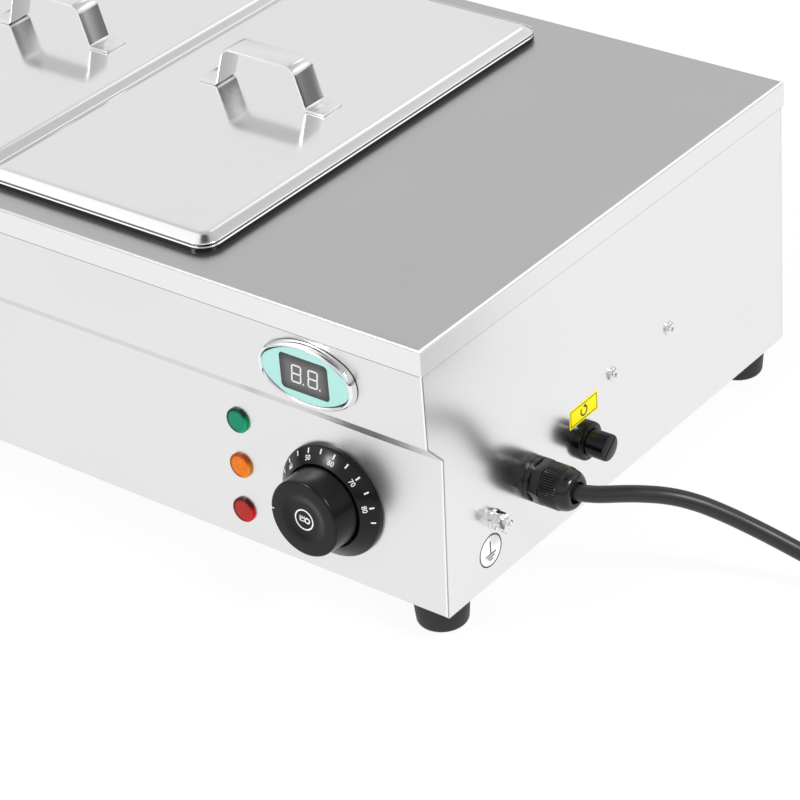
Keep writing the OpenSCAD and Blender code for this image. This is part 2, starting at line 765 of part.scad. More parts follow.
limit_box = 30;
limit_box_h = 20;
limit_bush_d = bush_d;
limit_bush_l = 8;
button_d = 3.6;
button_out = 1.6;
button_deep = 12;
collar_h = 4.8;
collar_ring = collar_h + 0.8;
module limit_thermostat() {
    color("lightgray") on_side(reset_in, reset_down) difference() {
        union() {
            translate([0, 0, -sheet - neck_l]) cylinder(d = 18, h = neck_l);
            translate([-limit_box / 2, -limit_box / 2, -sheet - neck_l - limit_box_h])
                cube([limit_box, limit_box, limit_box_h]);
            translate([0, 0, -sheet - past]) cylinder(d = limit_bush_d, h = sheet + past + limit_bush_l);
        }
        translate([0, 0, -button_deep])
            cylinder(d = button_d + 2 * run_fit, h = button_deep + limit_bush_l + past);
    }
}
module limit_bulb() {
    limit_y = y_front + reset_in;
    limit_z = z_top - reset_down;
    behind = sheet + neck_l + limit_box_h + capillary_d / 2;
    color("peru") bulb(pan_y + bulb_y, [body_right - behind, limit_y, limit_z]);
}
module reset_collar() {
    color(black) on_side(reset_in, reset_down) difference() {
        rotate_extrude() polygon([
            [0, 0], [collar_d / 2, 0], [collar_d / 2, collar_h - 1], [collar_d / 2 - 1, collar_h],
            [cap_d / 2 + 1.4, collar_h], [cap_d / 2 + 1, collar_ring], [0, collar_ring]]);
        translate([0, 0, -past]) cylinder(d = limit_bush_d + 2 * run_fit, h = collar_ring + 2 * past);
    }
}
module reset_button() {
    color("firebrick") on_side(reset_in, reset_down) translate([0, 0, 3 - button_deep])
        cylinder(d = button_d, h = button_deep - 3 + limit_bush_l + button_out);
}
module reset_cap() {
    base = collar_ring + seat;
    slot_w = 1.1;
    slot_l = cap_d - 2.4;
    slot_deep = 1.6;
    roof = 1.2;
    color(black) on_side(reset_in, reset_down) difference() {
        rotate_extrude() polygon([[0, base], [cap_d / 2, base], [cap_d / 2, reset_reach - 0.6],
            [cap_d / 2 - 0.6, reset_reach], [0, reset_reach]]);
        cylinder(d = limit_bush_d + 2 * loose, h = reset_reach - slot_deep - roof);
        rotate([0, 0, 39]) translate([-slot_l / 2, -slot_w / 2, reset_reach - slot_deep])
            cube([slot_l, slot_w, slot_deep + past]);
    }
}

// Display: bezel, fascia and window on a housing that passes through the band

oval_end_r = 13;
inner_a = bezel_w / 2 - ring_w;
inner_b = bezel_h / 2 - ring_w;
inner_r = oval_end_r - ring_w;
plate_t = 1.2;
window_r = 2.6;
window_shift = -0.5;
module inner_oval(shrink) {
    polygon(oval(inner_a - shrink, inner_b - shrink, inner_r - shrink));
}
module display_bezel() {
    crest = ring_w - 0.9;
    color("white") on_band(control_x, display_z) oval_ring(bezel_w / 2, bezel_h / 2, oval_end_r, concat(
        [[-ring_w, 0], [0, 0]],
        [for (i = [1 : 5]) [-crest * (1 - cos(18 * i)), ring_h * sin(18 * i)]],
        [[-ring_w, fascia_h]]));
}
module display_housing() {
    depth = 28;
    color(black) on_band(control_x, display_z) {
        linear_extrude(height = plate_t) inner_oval(seam);
        translate([-display_w / 2, -display_h / 2, -depth]) cube([display_w, display_h, depth]);
    }
}
module display_fascia() {
    color("aquamarine") on_band(control_x, display_z) translate([0, 0, plate_t])
        linear_extrude(height = fascia_h - plate_t) difference() {
            inner_oval(seam);
            translate([window_shift, 0]) round_rect(window_w + 2 * seam, window_h + 2 * seam, window_r + seam);
        }
}
module display_window() {
    color("#333333") on_band(control_x, display_z) translate([window_shift, 0, plate_t])
        linear_extrude(height = fascia_h - plate_t) round_rect(window_w, window_h, window_r);
}

// Lamps: a lens over the head of each lamp body, with a nut behind the panel

lens_wall = 1.2;
lens_room = lens_h - lens_wall - 0.6;
lamp_depth = 26;
module lens(i) {
    r = lens_d / 2;
    on_panel(lamp_x, lamp_first + i * lamp_pitch) rotate_extrude() polygon(concat(
        [[r - lens_wall, 0], [r, 0]],
        [for (k = [0 : 4]) [r - 1.2 + 1.2 * cos(k * 20), lens_h - 1.6 + 1.2 * sin(k * 20)]],
        [[r * 0.5, lens_h - 0.1], [0, lens_h], [0, lens_h - lens_wall], [r - lens_wall, lens_room]]));
}
module lamp_red() { color("red") lens(0); }
module lamp_orange() { color("orange") lens(1); }
module lamp_green() { color("seagreen") lens(2); }
module lamp_bodies() {
    color("whitesmoke") on_lamps() {
        cylinder(d = lens_d - 2 * lens_wall - 2 * seam, h = lens_room - seam);
        translate([0, 0, -lamp_depth]) cylinder(d = lamp_body_d, h = lamp_depth);
        for (s = [-1, 1]) translate([s * 3 - 0.4, -2.4, -lamp_depth - 8]) cube([0.8, 4.8, 9]);
    }
}
module lamp_nuts() {
    color("gray") on_lamps() translate([0, 0, -sheet - 4]) hex_nut(16, 4, lamp_body_d + 2 * run_fit);
}

// Cable gland

gland_base = 9.8;
flange_h = 3;
seal_from = 15.4;
seal_to = 22.4;
module gland_body() {
    color(black) on_side(gland_in, gland_down) difference() {
        union() {
            cylinder(d = gland_flats / cos(30), h = gland_base, $fn = 6);
            cylinder(d = gland_flats + 3, h = flange_h);
            translate([0, 0, -12]) cylinder(d = gland_thread, h = 12 + seal_from - seam);
        }
        translate([0, 0, -13]) cylinder(d = cord_d - 1.6, h = 40);
        translate([0, 0, gland_reach - cord_start]) cylinder(d = cord_d + 2 * loose, h = 40);
    }
}
// The nut's outline, with fine flutes for grip
flutes = 36;
flute_depth = 0.3;
module fluted(r) {
    turn = 90 / flutes;
    polygon([for (i = [0 : 4 * flutes - 1]) (r + flute_depth * cos(90 * i)) * [cos(turn * i), sin(turn * i)]]);
}
module gland_nut() {
    r = gland_flats / 2 + 1;
    from = gland_base + 0.4;
    dome = seal_to - 0.6;
    nose_r = cord_d / 2 + 3.1;
    color(black) on_side(gland_in, gland_down) difference() {
        union() {
            translate([0, 0, from]) linear_extrude(height = dome - from) fluted(r);
            translate([0, 0, dome]) rotate_extrude() polygon(concat(
                [[0, 0], [r, 0]],
                [for (i = [1 : 5]) [nose_r + (r - nose_r) * cos(18 * i), (gland_reach - dome) * sin(18 * i)]],
                [[0, gland_reach - dome]]));
        }
        translate([0, 0, from - past]) cylinder(d = gland_thread + 2 * run_fit, h = seal_to + past - from);
        cylinder(d = cord_d + 3, h = gland_reach + past);
    }
}
module gland_seal() {
    color("dimgray") on_side(gland_in, gland_down) difference() {
        translate([0, 0, seal_from]) cylinder(d = gland_thread - 2 * run_fit, h = seal_to - seal_from - seam);
        cylinder(d = cord_d + 2 * loose, h = gland_reach);
    }
}
module gland_locknut() {
    color(black) on_side(gland_in, gland_down) translate([0, 0, -sheet - 5])
        hex_nut(gland_flats + 2, 5, gland_thread + 2 * run_fit);
}

// Earth stud: a screw from inside, a nut that holds it and a nut and washers for a lead

washer_t = 1.2;
earth_nut_h = 4.2;
module earth_washer_at(z, d) {
    translate([0, 0, z]) difference() {
        cylinder(d = d, h = washer_t);
        translate([0, 0, -past]) cylinder(d = earth_d + 0.4, h = washer_t + 2 * past);
    }
}
earth_stack = [washer_t, 2 * washer_t + earth_nut_h];
module earth_stud() {
    color(polished) on_side(earth_in, earth_down) {
        translate([0, 0, -sheet - 4]) cylinder(d = 10 / cos(30), h = 4, $fn = 6);
        translate([0, 0, -sheet]) cylinder(d = earth_d, h = sheet + earth_reach);
    }
}
module earth_nuts() {
    color(polished) on_side(earth_in, earth_down)
        for (z = earth_stack) translate([0, 0, z]) hex_nut(10, earth_nut_h, earth_d + 2 * run_fit);
}
module earth_washers() {
    color(polished) on_side(earth_in, earth_down) {
        earth_washer_at(0, 2 * earth_d + 0.4);
        earth_washer_at(earth_stack[0] + earth_nut_h, 2 * earth_d - 1.8);
    }
}

// Terminal block on a bracket that the side screws hold

shelf_w = 42;
bracket_l = screw_pitch + 20;
bracket_h = 30;
side_head_d = 8.8;
block_l = 36;
block_w = 22;
block_h = 18;
module on_bracket() {
    translate([body_right - sheet, y_front + screw_in + screw_pitch / 2, z_top - screw_down - bracket_h + 8])
        children();
}
module terminal_bracket() {
    color(steel) difference() {
        on_bracket() {
            translate([-sheet, -bracket_l / 2, 0]) cube([sheet, bracket_l, bracket_h]);
            translate([-shelf_w, -bracket_l / 2, 0]) cube([shelf_w, bracket_l, sheet]);
        }
        for (s = [0, 1]) on_side(screw_in + s * screw_pitch, screw_down)
            translate([0, 0, -3 * sheet]) cylinder(d = m4 + 2 * run_fit, h = 3 * sheet);
    }
}
module bracket_screws() {
    color(polished) for (s = [0, 1]) on_side(screw_in + s * screw_pitch, screw_down)
        pan_screw(m4, 7, side_head_d, 2.6);
}
module on_poles() {
    for (i = [-1 : 1], s = [-1, 1]) translate([s * 6, i * 11, 0]) children();
}
module terminal_block() {
    color("ivory") on_bracket() translate([-shelf_w / 2 - 3, 0, sheet]) difference() {
        translate([-block_w / 2, -block_l / 2, 0]) cube([block_w, block_l, block_h]);
        on_poles() translate([0, 0, 5]) cylinder(d = 5, h = block_h);
        for (i = [-0.5, 0.5]) translate([-block_w, i * 11 - 0.75, block_h - 4]) cube([2 * block_w, 1.5, 5]);
    }
}
module terminal_screws() {
    color("goldenrod") on_bracket() translate([-shelf_w / 2 - 3, 0, sheet])
        on_poles() translate([0, 0, 5]) cylinder(d = 4.4, h = 8);
}

// Power cord, its coil, tie and plug

module power_cord() {
    color(black) tube(cord_path, cord_d, 10);
}

// A point of the coil after so many turns: in on the lower layer, up in half a turn, out on the upper layer
function ease(u) = u * u * (3 - 2 * u);
function coil_point(turns) =
    let (climb = min(max((turns - coil_turns) / 0.5, 0), 1),
         out = max(turns - coil_turns - 0.5, 0),
         r = coil_out_r - coil_step * min(turns, coil_turns) + coil_step * out - coil_dip * sin(180 * climb),
         angle = coil_heading - 90 + 360 * turns)
    coil_centre + [r * cos(angle), r * sin(angle), coil_layer * ease(climb)];
coil_all = 2 * coil_turns + 0.5;
coil_steps = round(coil_all * coil_rings);
plug_heading = [-sin(coil_end_angle), cos(coil_end_angle), 0];
coil_stop = coil_point(coil_all) + plug_lead * plug_heading;
coil_path = concat(
    [cord_end],
    [for (i = [0 : coil_steps]) coil_point(coil_all * i / coil_steps)],
    [coil_stop]);

// The coil's least gap to itself, between points over half a loop apart, and the cord's whole length
coil_gap = min([for (i = [0 : len(coil_path) - 1], j = [i + coil_rings / 2 : 1 : len(coil_path) - 1])
    norm(coil_path[i] - coil_path[j])]) - cord_d;
function path_length(p, i = 1) = i < len(p) ? norm(p[i] - p[i - 1]) + path_length(p, i + 1) : 0;
echo(coil_gap = coil_gap, cord_length = path_length(cord_path) + path_length(coil_path));

module cord_coil() {
    color(black) tube(coil_path, cord_d, 6);
}
module cord_tie() {
    low = coil_end_height(0) - cord_d / 2 - 0.4;
    high = coil_end_height(1) + cord_d / 2 + 0.4;
    wide = coil_step * (coil_turns - 0.5) + cord_d + 2.4;
    color("dimgray") translate([coil_centre.x, coil_centre.y, 0]) rotate([0, 0, tie_angle])
        translate([coil_mid_r - 1.6, tie_w / 2, (low + high) / 2]) rotate([90, 0, 0])
            linear_extrude(height = tie_w) difference() {
                round_rect(wide + 2 * tie_t, high - low + 2 * tie_t, 3 + tie_t);
                round_rect(wide, high - low, 3);
            }
}
function coil_end_height(layer) = cord_end.z + layer * coil_layer;

module on_plug() {
    translate(coil_stop) rotate([0, 90, coil_end_angle + 90]) children();
}
module plug_body() {
    relief_r = cord_d / 2 + 2.4;
    color(black) on_plug() difference() {
        rotate_extrude() polygon(concat(
            [[0, 0], [cord_d / 2 + 0.8, 0], [relief_r + 1, relief_l * 0.6]],
            [for (i = [0 : 4]) [plug_r - (plug_r - relief_r - 2) * cos(22.5 * i),
                relief_l * 0.7 + relief_l * 0.5 * sin(22.5 * i)]],
            [[plug_r, relief_l + plug_l - 1.5], [plug_r - 1.5, relief_l + plug_l], [0, relief_l + plug_l]]));
        for (s = [-1, 1]) {
            translate([s * pin_pitch / 2, 0, relief_l + plug_l - 8]) cylinder(d = pin_d + 2 * run_fit, h = 10);
            translate([-2.5, s * (plug_r + 1) - 2.5, relief_l + 8]) cube([5, 5, plug_l]);
        }
    }
}
module plug_pins() {
    color(polished) on_plug() for (s = [-1, 1])
        translate([s * pin_pitch / 2, 0, relief_l + plug_l - 8 + seam]) rotate_extrude() polygon([
            [0, 0], [pin_d / 2, 0], [pin_d / 2, pin_l + 6], [pin_d / 2 - 1.4, pin_l + 8], [0, pin_l + 8]]);
}

// Pans and lids

pan_floor_r = 12;
module pan(i) {
    path = rounded([[wall_r + flange_join, 0], [wall_r, 0], [wall_r, -shoulder_drop],
        [wall_r - shoulder_step, -shoulder_drop - shoulder_step],
        [wall_r - shoulder_step - wall_taper, -pan_depth], [0, -pan_depth]], [3, 1, 1, pan_floor_r], 3);
    rim = rounded([[flange_r - flange_join, 0], [flange_r, 0], [flange_r, -flange_drop]], [1.5], 3);
    color(polished) translate([right_pan_x - i * pan_pitch, pan_y, z_flange]) {
        pressed(wall_w, wall_l, wall_r, path, pan_sheet);
        around(pan_w, pan_l, flange_r) polygon(strip(rim, -pan_sheet));
        translate([0, 0, -pan_sheet]) linear_extrude(height = pan_sheet) difference() {
            round_rect(pan_w - 2 * flange_join, pan_l - 2 * flange_join, flange_r - flange_join);
            round_rect(wall_w + 2 * flange_join, wall_l + 2 * flange_join, wall_r + flange_join);
        }
    }
}
module pan_right() { pan(0); }
module pan_middle() { pan(1); }
module pan_left() { pan(2); }

// The bead under the lid's slope that rests on the flange, so that the lid's edge stands clear of it
function lid_bead(shoulder) =
    let (slope = lid_rise / lid_slope_w,
         inner = lid_slope_w * 0.7,
         outer = inner - pan_sheet,
         sunk = pan_sheet / 2)
    [[flange_r - inner, 0], [flange_r - outer, 0], [flange_r - outer, shoulder + outer * slope - sunk],
     [flange_r - inner, shoulder + inner * slope - sunk]];
module lid(i) {
    shoulder = lid_gap + lid_edge;
    top = shoulder + lid_rise;
    path = rounded([[flange_r, lid_gap], [flange_r, shoulder], [flange_r - lid_slope_w, top], [0, top]],
        [1, 2], 3);
    foot = 15;
    leg = 8;
    grip = handle_l - 2 * (foot + leg);
    strap = rounded([[-handle_l / 2, 0], [foot - handle_l / 2, 0], [-grip / 2, handle_h], [grip / 2, handle_h],
        [handle_l / 2 - foot, 0], [handle_l / 2, 0]], [3, 6, 6, 3]);
    color(polished) translate([right_pan_x - i * pan_pitch, pan_y, z_lid]) {
        pressed(pan_w, pan_l, flange_r, path, pan_sheet);
        around(pan_w, pan_l, flange_r) polygon(lid_bead(shoulder));
        translate([0, handle_w / 2, top]) rotate([90, 0, 0])
            linear_extrude(height = handle_w) polygon(strip(strap, handle_t));
    }
}
module lid_right() { lid(0); }
module lid_middle() { lid(1); }
module lid_left() { lid(2); }

top_plate();
front_panel();
right_side_panel();
left_side_panel();
back_panel();
base_plate();
water_tank();
heating_element();
element_clamps();
clamp_nuts();
thermostat_body();
thermostat_screws();
thermostat_shaft();
thermostat_bulb();
limit_thermostat();
limit_bulb();
reset_collar();
reset_cap();
reset_button();
display_housing();
display_bezel();
display_fascia();
display_window();
lamp_green();
lamp_orange();
lamp_red();
lamp_bodies();
lamp_nuts();
dial_ring();
knob();
gland_body();
gland_nut();
gland_seal();
gland_locknut();
earth_stud();
earth_nuts();
earth_washers();
terminal_bracket();
bracket_screws();
terminal_block();
terminal_screws();
power_cord();
cord_coil();
cord_tie();
plug_body();
plug_pins();
foot_front_left();
foot_front_right();
foot_back_left();
foot_back_right();
foot_screws();
foot_nuts();
pan_left();
pan_middle();
pan_right();
lid_left();
lid_middle();
lid_right();
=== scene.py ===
"""Countertop bain-marie: finishes, modelled fittings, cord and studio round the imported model.

Metres. +X is the right-hand end, +Y the back and +Z up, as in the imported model. Sizes of fittings are
written in millimetres and turned into metres where a mesh is made.
"""
import json
import logging
import math
from collections.abc import Callable, Sequence
from dataclasses import dataclass
from enum import Enum

import bmesh
import bpy
from mathutils import Matrix, Vector


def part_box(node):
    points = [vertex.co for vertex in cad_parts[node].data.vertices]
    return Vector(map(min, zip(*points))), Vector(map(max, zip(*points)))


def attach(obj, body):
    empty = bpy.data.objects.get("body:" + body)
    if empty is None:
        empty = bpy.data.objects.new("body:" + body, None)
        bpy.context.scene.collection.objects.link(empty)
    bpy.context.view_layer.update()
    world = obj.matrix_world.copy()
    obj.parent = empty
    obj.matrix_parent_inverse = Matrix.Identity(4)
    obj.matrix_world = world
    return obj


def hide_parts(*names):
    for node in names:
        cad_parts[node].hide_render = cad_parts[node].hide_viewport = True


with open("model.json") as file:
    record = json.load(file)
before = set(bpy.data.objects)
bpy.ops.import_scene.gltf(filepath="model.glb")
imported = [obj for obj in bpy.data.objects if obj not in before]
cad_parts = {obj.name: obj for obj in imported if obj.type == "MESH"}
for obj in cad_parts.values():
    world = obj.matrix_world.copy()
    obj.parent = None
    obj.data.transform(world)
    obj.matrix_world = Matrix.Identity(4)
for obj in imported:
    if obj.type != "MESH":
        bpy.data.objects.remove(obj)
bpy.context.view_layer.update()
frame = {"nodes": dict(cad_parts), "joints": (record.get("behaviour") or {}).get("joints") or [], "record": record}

LOG = logging.getLogger("bain_marie")
MM = 0.001
# Slack in metres where the place of a point is tested
TOUCH = 1e-6
# Radius in millimetres of the small flat that closes a turned piece on its axis
POLE = 0.3
# Height of the figures as a share of the type size
FIGURE_SHARE = 0.7
# Range that holds most of the values of a noise
NOISE_RANGE = (0.3, 0.7)
# Numbers of the colour inputs and the colour output of a mix node
COLOUR_ENDS = (6, 7)
COLOUR_OUT = 2
UNMOVED = Matrix.Identity(4)
Triple = tuple[float, float, float]
Colour = Triple
Pair = tuple[float, float]
Piece = bpy.types.Object
Socket = bpy.types.NodeSocket


class Pick(Enum):
    """What a selection in edit mode takes."""

    POINTS = "VERT"
    EDGES = "EDGE"
    FACES = "FACE"


class Grain(Enum):
    """The way a sheet's polishing lines run, as the stretch of their pattern along X, Y and Z."""

    NONE = (1.0, 1.0, 1.0)
    ALONG_X = (0.02, 1.0, 1.0)
    ALONG_Y = (1.0, 0.02, 1.0)


# Modelling steps shared by the sub-assemblies


def deselect_all() -> None:
    """Leaves edit mode and deselects every object."""
    if bpy.context.mode != "OBJECT":
        bpy.ops.object.mode_set(mode="OBJECT")
    bpy.ops.object.select_all(action="DESELECT")


def take(obj: Piece) -> None:
    """Makes one object the only selected and the active one.

    Args:
        obj: The object.
    """
    deselect_all()
    obj.select_set(True)
    bpy.context.view_layer.objects.active = obj


def open_mesh(obj: Piece) -> None:
    """Opens an object's mesh for editing, with all of it selected.

    Args:
        obj: The object.
    """
    take(obj)
    bpy.ops.object.mode_set(mode="EDIT")
    bpy.ops.mesh.select_mode(type="VERT")
    bpy.ops.mesh.select_all(action="SELECT")


def close_mesh() -> None:
    """Leaves edit mode."""
    bpy.ops.object.mode_set(mode="OBJECT")


def choose(obj: Piece, kind: Pick, where: Callable[[Vector], bool]) -> None:
    """Selects the points, edges or faces of an open mesh whose points all pass a test.

    Args:
        obj: The object in edit mode.
        kind: What is selected.
        where: The test, given a point in the mesh's own coordinates.
    """
    bpy.ops.mesh.select_mode(type=kind.value)
    bpy.ops.mesh.select_all(action="DESELECT")
    mesh = bmesh.from_edit_mesh(obj.data)
    if kind is Pick.POINTS:
        for point in mesh.verts:
            point.select_set(where(point.co))
    else:
        for item in mesh.edges if kind is Pick.EDGES else mesh.faces:
            item.select_set(all(where(point.co) for point in item.verts))
    mesh.select_flush_mode()
    bmesh.update_edit_mesh(obj.data)


def settle(obj: Piece, place: Matrix) -> Piece:
    """Moves an object's mesh to its place, so that the object itself sits at the origin.

    Args:
        obj: The object to move.
        place: The matrix from the object's own coordinates to the part's.

    Returns:
        The object.
    """
    obj.data.transform(place @ obj.matrix_basis)
    obj.matrix_basis = UNMOVED
    obj.data.update()
    return obj


def tidy_mesh(obj: Piece) -> None:
    """Merges doubled points and turns all faces outwards.

    Args:
        obj: The object.
    """
    open_mesh(obj)
    bpy.ops.mesh.remove_doubles(threshold=1e-7)
    bpy.ops.mesh.normals_make_consistent(inside=False)
    close_mesh()


def turned(profile: Sequence[Pair], sides: int = 64, ring: bool = False) -> Piece:
    """Turns a profile round Z, extruding a circle from one pair to the next.

    Args:
        profile: Radius and height in millimetres, from the first circle to the last.
        sides: How many sides the circles have.
        ring: Whether the last circle is joined to the first, instead of both ends being closed.

    Returns:
        The turned object, at the origin.
    """
    radius, height = profile[0]
    deselect_all()
    bpy.ops.mesh.primitive_circle_add(vertices=sides, radius=radius * MM, location=(0, 0, height * MM))
    obj = bpy.context.active_object
    open_mesh(obj)
    for next_radius, next_height in profile[1:]:
        step = (0.0, 0.0, (next_height - height) * MM)
        bpy.ops.mesh.extrude_region_move(TRANSFORM_OT_translate={"value": step})
        ratio = next_radius / radius
        bpy.ops.transform.resize(value=(ratio, ratio, 1), center_override=(0, 0, next_height * MM))
        radius, height = next_radius, next_height
    bpy.ops.mesh.select_mode(type="EDGE")
    if ring:
        bpy.ops.mesh.select_non_manifold(extend=False)
        bpy.ops.mesh.bridge_edge_loops()
    else:
        bpy.ops.mesh.select_all(action="SELECT")
        bpy.ops.mesh.fill_holes(sides=0)
    close_mesh()
    settle(obj, UNMOVED)
    tidy_mesh(obj)
    return obj


def open_plane(width: float, height: float) -> Piece:
    """Adds a plane in the middle of the origin and opens it for editing.

    Args:
        width: Size along X in millimetres.
        height: Size along Y in millimetres.

    Returns:
        The plane, with all of it selected.
    """
    deselect_all()
    bpy.ops.mesh.primitive_plane_add(size=1)
    obj = bpy.context.active_object
    open_mesh(obj)
    bpy.ops.transform.resize(value=(width * MM, height * MM, 1), center_override=(0, 0, 0))
    return obj


def open_bar(width: float, x: float, y: float) -> Piece:
    """Adds a single edge along X and opens it for editing.

    Args:
        width: Its length in millimetres.
        x: Its middle along X in millimetres.
        y: Its place along Y in millimetres.

    Returns:
        The edge, with all of it selected.
    """
    obj = open_plane(width, 1 / MM)
    choose(obj, Pick.POINTS, lambda p: p.y > 0)
    bpy.ops.mesh.delete(type="VERT")
    bpy.ops.mesh.select_all(action="SELECT")
    bpy.ops.transform.translate(value=(x * MM, 0.5 + y * MM, 0))
    return obj


def raised(obj: Piece, thick: float) -> Piece:
    """Extrudes a flat open mesh upwards and closes it.

    Args:
        obj: The object in edit mode.
        thick: Thickness in millimetres.

    Returns:
        The object.
    """
    bpy.ops.mesh.select_all(action="SELECT")
    bpy.ops.mesh.extrude_region_move(TRANSFORM_OT_translate={"value": (0, 0, thick * MM)})
    close_mesh()
    tidy_mesh(obj)
    return obj


def plate(width: float, height: float, corner: float, thick: float, segments: int = 6) -> Piece:
    """Makes a flat plate with rounded corners, its back on Z = 0.

    Args:
        width: Size along X in millimetres.
        height: Size along Y in millimetres.
        corner: Corner radius in millimetres, 0 for square corners.
        thick: Thickness in millimetres.
        segments: Steps of a rounded corner.

    Returns:
        The plate, at the origin.
    """
    obj = open_plane(width, height)
    if corner:
        bpy.ops.mesh.bevel(offset=corner * MM, segments=segments, affect="VERTICES")
    return raised(obj, thick)


def arc_strip(radius: float, width: float, start: float, sweep: float, thick: float) -> Piece:
    """Spins a short bar into a flat arc on Z = 0.

    Args:
        radius: Middle radius in millimetres.
        width: Width of the strip in millimetres.
        start: Angle of its first end in degrees, anticlockwise from +X.
        sweep: Its angle in degrees.
        thick: Thickness in millimetres.

    Returns:
        The strip, at the origin.
    """
    obj = open_bar(width, radius, 0)
    bpy.ops.mesh.spin(
        steps=max(6, int(abs(sweep) / 8)), angle=math.radians(sweep), center=(0, 0, 0), axis=(0, 0, 1))
    return settle(raised(obj, thick), spun(start))


def figure(text: str, height: float, thick: float, bold: float) -> Piece:
    """Makes a plain number as a thin mesh, centred on the origin.

    Args:
        text: The number.
        height: Height of the figures in millimetres.
        thick: Thickness in millimetres.
        bold: How far the strokes are widened to each side in millimetres.

    Returns:
        The number, reading along +X with its top towards +Y.
    """
    deselect_all()
    bpy.ops.object.text_add()
    obj = bpy.context.active_object
    obj.data.body = text
    obj.data.align_x = "CENTER"
    obj.data.align_y = "CENTER"
    obj.data.size = height * MM / FIGURE_SHARE
    obj.data.offset = bold * MM
    obj.data.extrude = thick / 2 * MM
    bpy.ops.object.convert(target="MESH")
    obj = bpy.context.active_object
    settle(obj, moved(0, 0, thick / 2))
    tidy_mesh(obj)
    return obj


def joined(parts: Sequence[Piece]) -> Piece:
    """Joins finished meshes into the first of them.

    Args:
        parts: The meshes.

    Returns:
        The first mesh, with the others in it.
    """
    take(parts[0])
    for part in parts[1:]:
        part.select_set(True)
    if len(parts) > 1:
        bpy.ops.object.join()
    return parts[0]


def altered(obj: Piece, kind: str, **settings: object) -> None:
    """Adds a modifier to an object and applies it.

    Args:
        obj: The object.
        kind: The modifier's type.
        settings: The modifier's own settings.
    """
    take(obj)
    bpy.ops.object.modifier_add(type=kind)
    modifier = obj.modifiers[-1]
    for name, value in settings.items():
        setattr(modifier, name, value)
    bpy.ops.object.modifier_apply(modifier=modifier.name)


def cut(obj: Piece, tool: Piece) -> None:
    """Cuts one mesh out of another and removes the tool."""
    altered(obj, "BOOLEAN", operation="DIFFERENCE", solver="EXACT", object=tool)
    bpy.data.objects.remove(tool)


def soften(obj: Piece, width: float, segments: int = 3, angle: float = 30.0) -> None:
    """Rounds an object's sharp edges with a bevel.

    Args:
        obj: The object.
        width: Width of the rounding in millimetres.
        segments: Steps of the rounding.
        angle: The least angle in degrees of an edge that is rounded.
    """
    altered(
        obj, "BEVEL", width=width * MM, segments=segments, limit_method="ANGLE",
        angle_limit=math.radians(angle), harden_normals=False)


def thicken(obj: Piece, thick: float, offset: float) -> None:
    """Gives a sheet its thickness in millimetres, inwards at an offset of -1 and outwards at 1."""
    altered(obj, "SOLIDIFY", thickness=thick * MM, offset=offset, use_even_offset=True)


def copied(model: Piece, place: Matrix) -> Piece:
    """Copies a model, with a mesh of its own, to a place.

    Args:
        model: The model.
        place: The matrix from the model's coordinates to the part's.

    Returns:
        The copy.
    """
    take(model)
    bpy.ops.object.duplicate()
    return settle(bpy.context.active_object, place)


def moved(x: float, y: float, z: float = 0.0) -> Matrix:
    """Returns a translation given in millimetres."""
    return Matrix.Translation((x * MM, y * MM, z * MM))


def spun(degrees: float) -> Matrix:
    """Returns a turn round Z in degrees, anticlockwise."""
    return Matrix.Rotation(math.radians(degrees), 4, "Z")


# Profiles and small shapes that several pieces share


def rounding(centre: Pair, reach: Pair, steps: int, first: int = 0, start: float = 0.0) -> list[Pair]:
    """Draws a quarter of an ellipse as part of a profile.

    Args:
        centre: Its centre in millimetres.
        reach: Its half axes in millimetres.
        steps: How many steps it has.
        first: The first step that is drawn.
        start: The angle in degrees at which it starts.

    Returns:
        Its points.
    """
    angles = [math.radians(start + 90 * i / steps) for i in range(first, steps + 1)]
    return [(centre[0] + reach[0] * math.cos(a), centre[1] + reach[1] * math.sin(a)) for a in angles]


def stepped(radius: float, height: float, steps: Sequence[Pair]) -> list[Pair]:
    """Returns points of a profile, given as steps inwards and down from a radius and a height."""
    return [(radius - inward, height - down) for inward, down in steps]


def flat_ring(outer: float, line: float, thick: float, sides: int = 64) -> Piece:
    """Makes a flat ring on Z = 0 from its outer radius, line width and thickness in millimetres."""
    inner = outer - line
    return turned(((inner, 0), (outer, 0), (outer, thick), (inner, thick)), sides, ring=True)


def hexagon(flats: float, low: float, high: float, edge: float) -> Piece:
    """Makes a hexagon round Z with softened edges.

    Args:
        flats: Its width across flats in millimetres.
        low: The height of its foot in millimetres.
        high: The height of its top in millimetres.
        edge: Width of the softened edges in millimetres.

    Returns:
        The hexagon, with a corner towards +X.
    """
    outer = flats / 2 / math.cos(math.pi / 6)
    obj = turned(((outer, low), (outer, high)), 6)
    soften(obj, edge)
    return obj


# Places on the body: each has its X to the reader's right, its Y up and its Z out of the face


def facing(point: Vector, right: Vector, out: Vector) -> Matrix:
    """Returns a place on a face.

    Args:
        point: Its origin.
        right: The direction of its X.
        out: The direction of its Z, out of the face.

    Returns:
        The matrix from the place to the part.
    """
    up = out.cross(right)
    return Matrix.Translation(point) @ Matrix((right, up, out)).transposed().to_4x4()


def middle(node: str) -> Vector:
    """Returns the middle of a CAD node's box."""
    low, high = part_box(node)
    return (low + high) / 2


def joint(name: str) -> dict:
    """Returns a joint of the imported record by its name."""
    return next(item for item in frame["joints"] if item["name"] == name)


def on_panel(node: str) -> Matrix:
    """Finds the place of a piece on the leaning control panel, whose normal is the knob's axis.

    Args:
        node: The piece's CAD node.

    Returns:
        The place.
    """
    knob = joint("knob_turn")
    out = -Vector(knob["axis"]).normalized()
    centre = middle(node)
    foot = centre - out * (centre - Vector(knob["pos_m"])).dot(out)
    return facing(foot, Vector((1, 0, 0)), out)


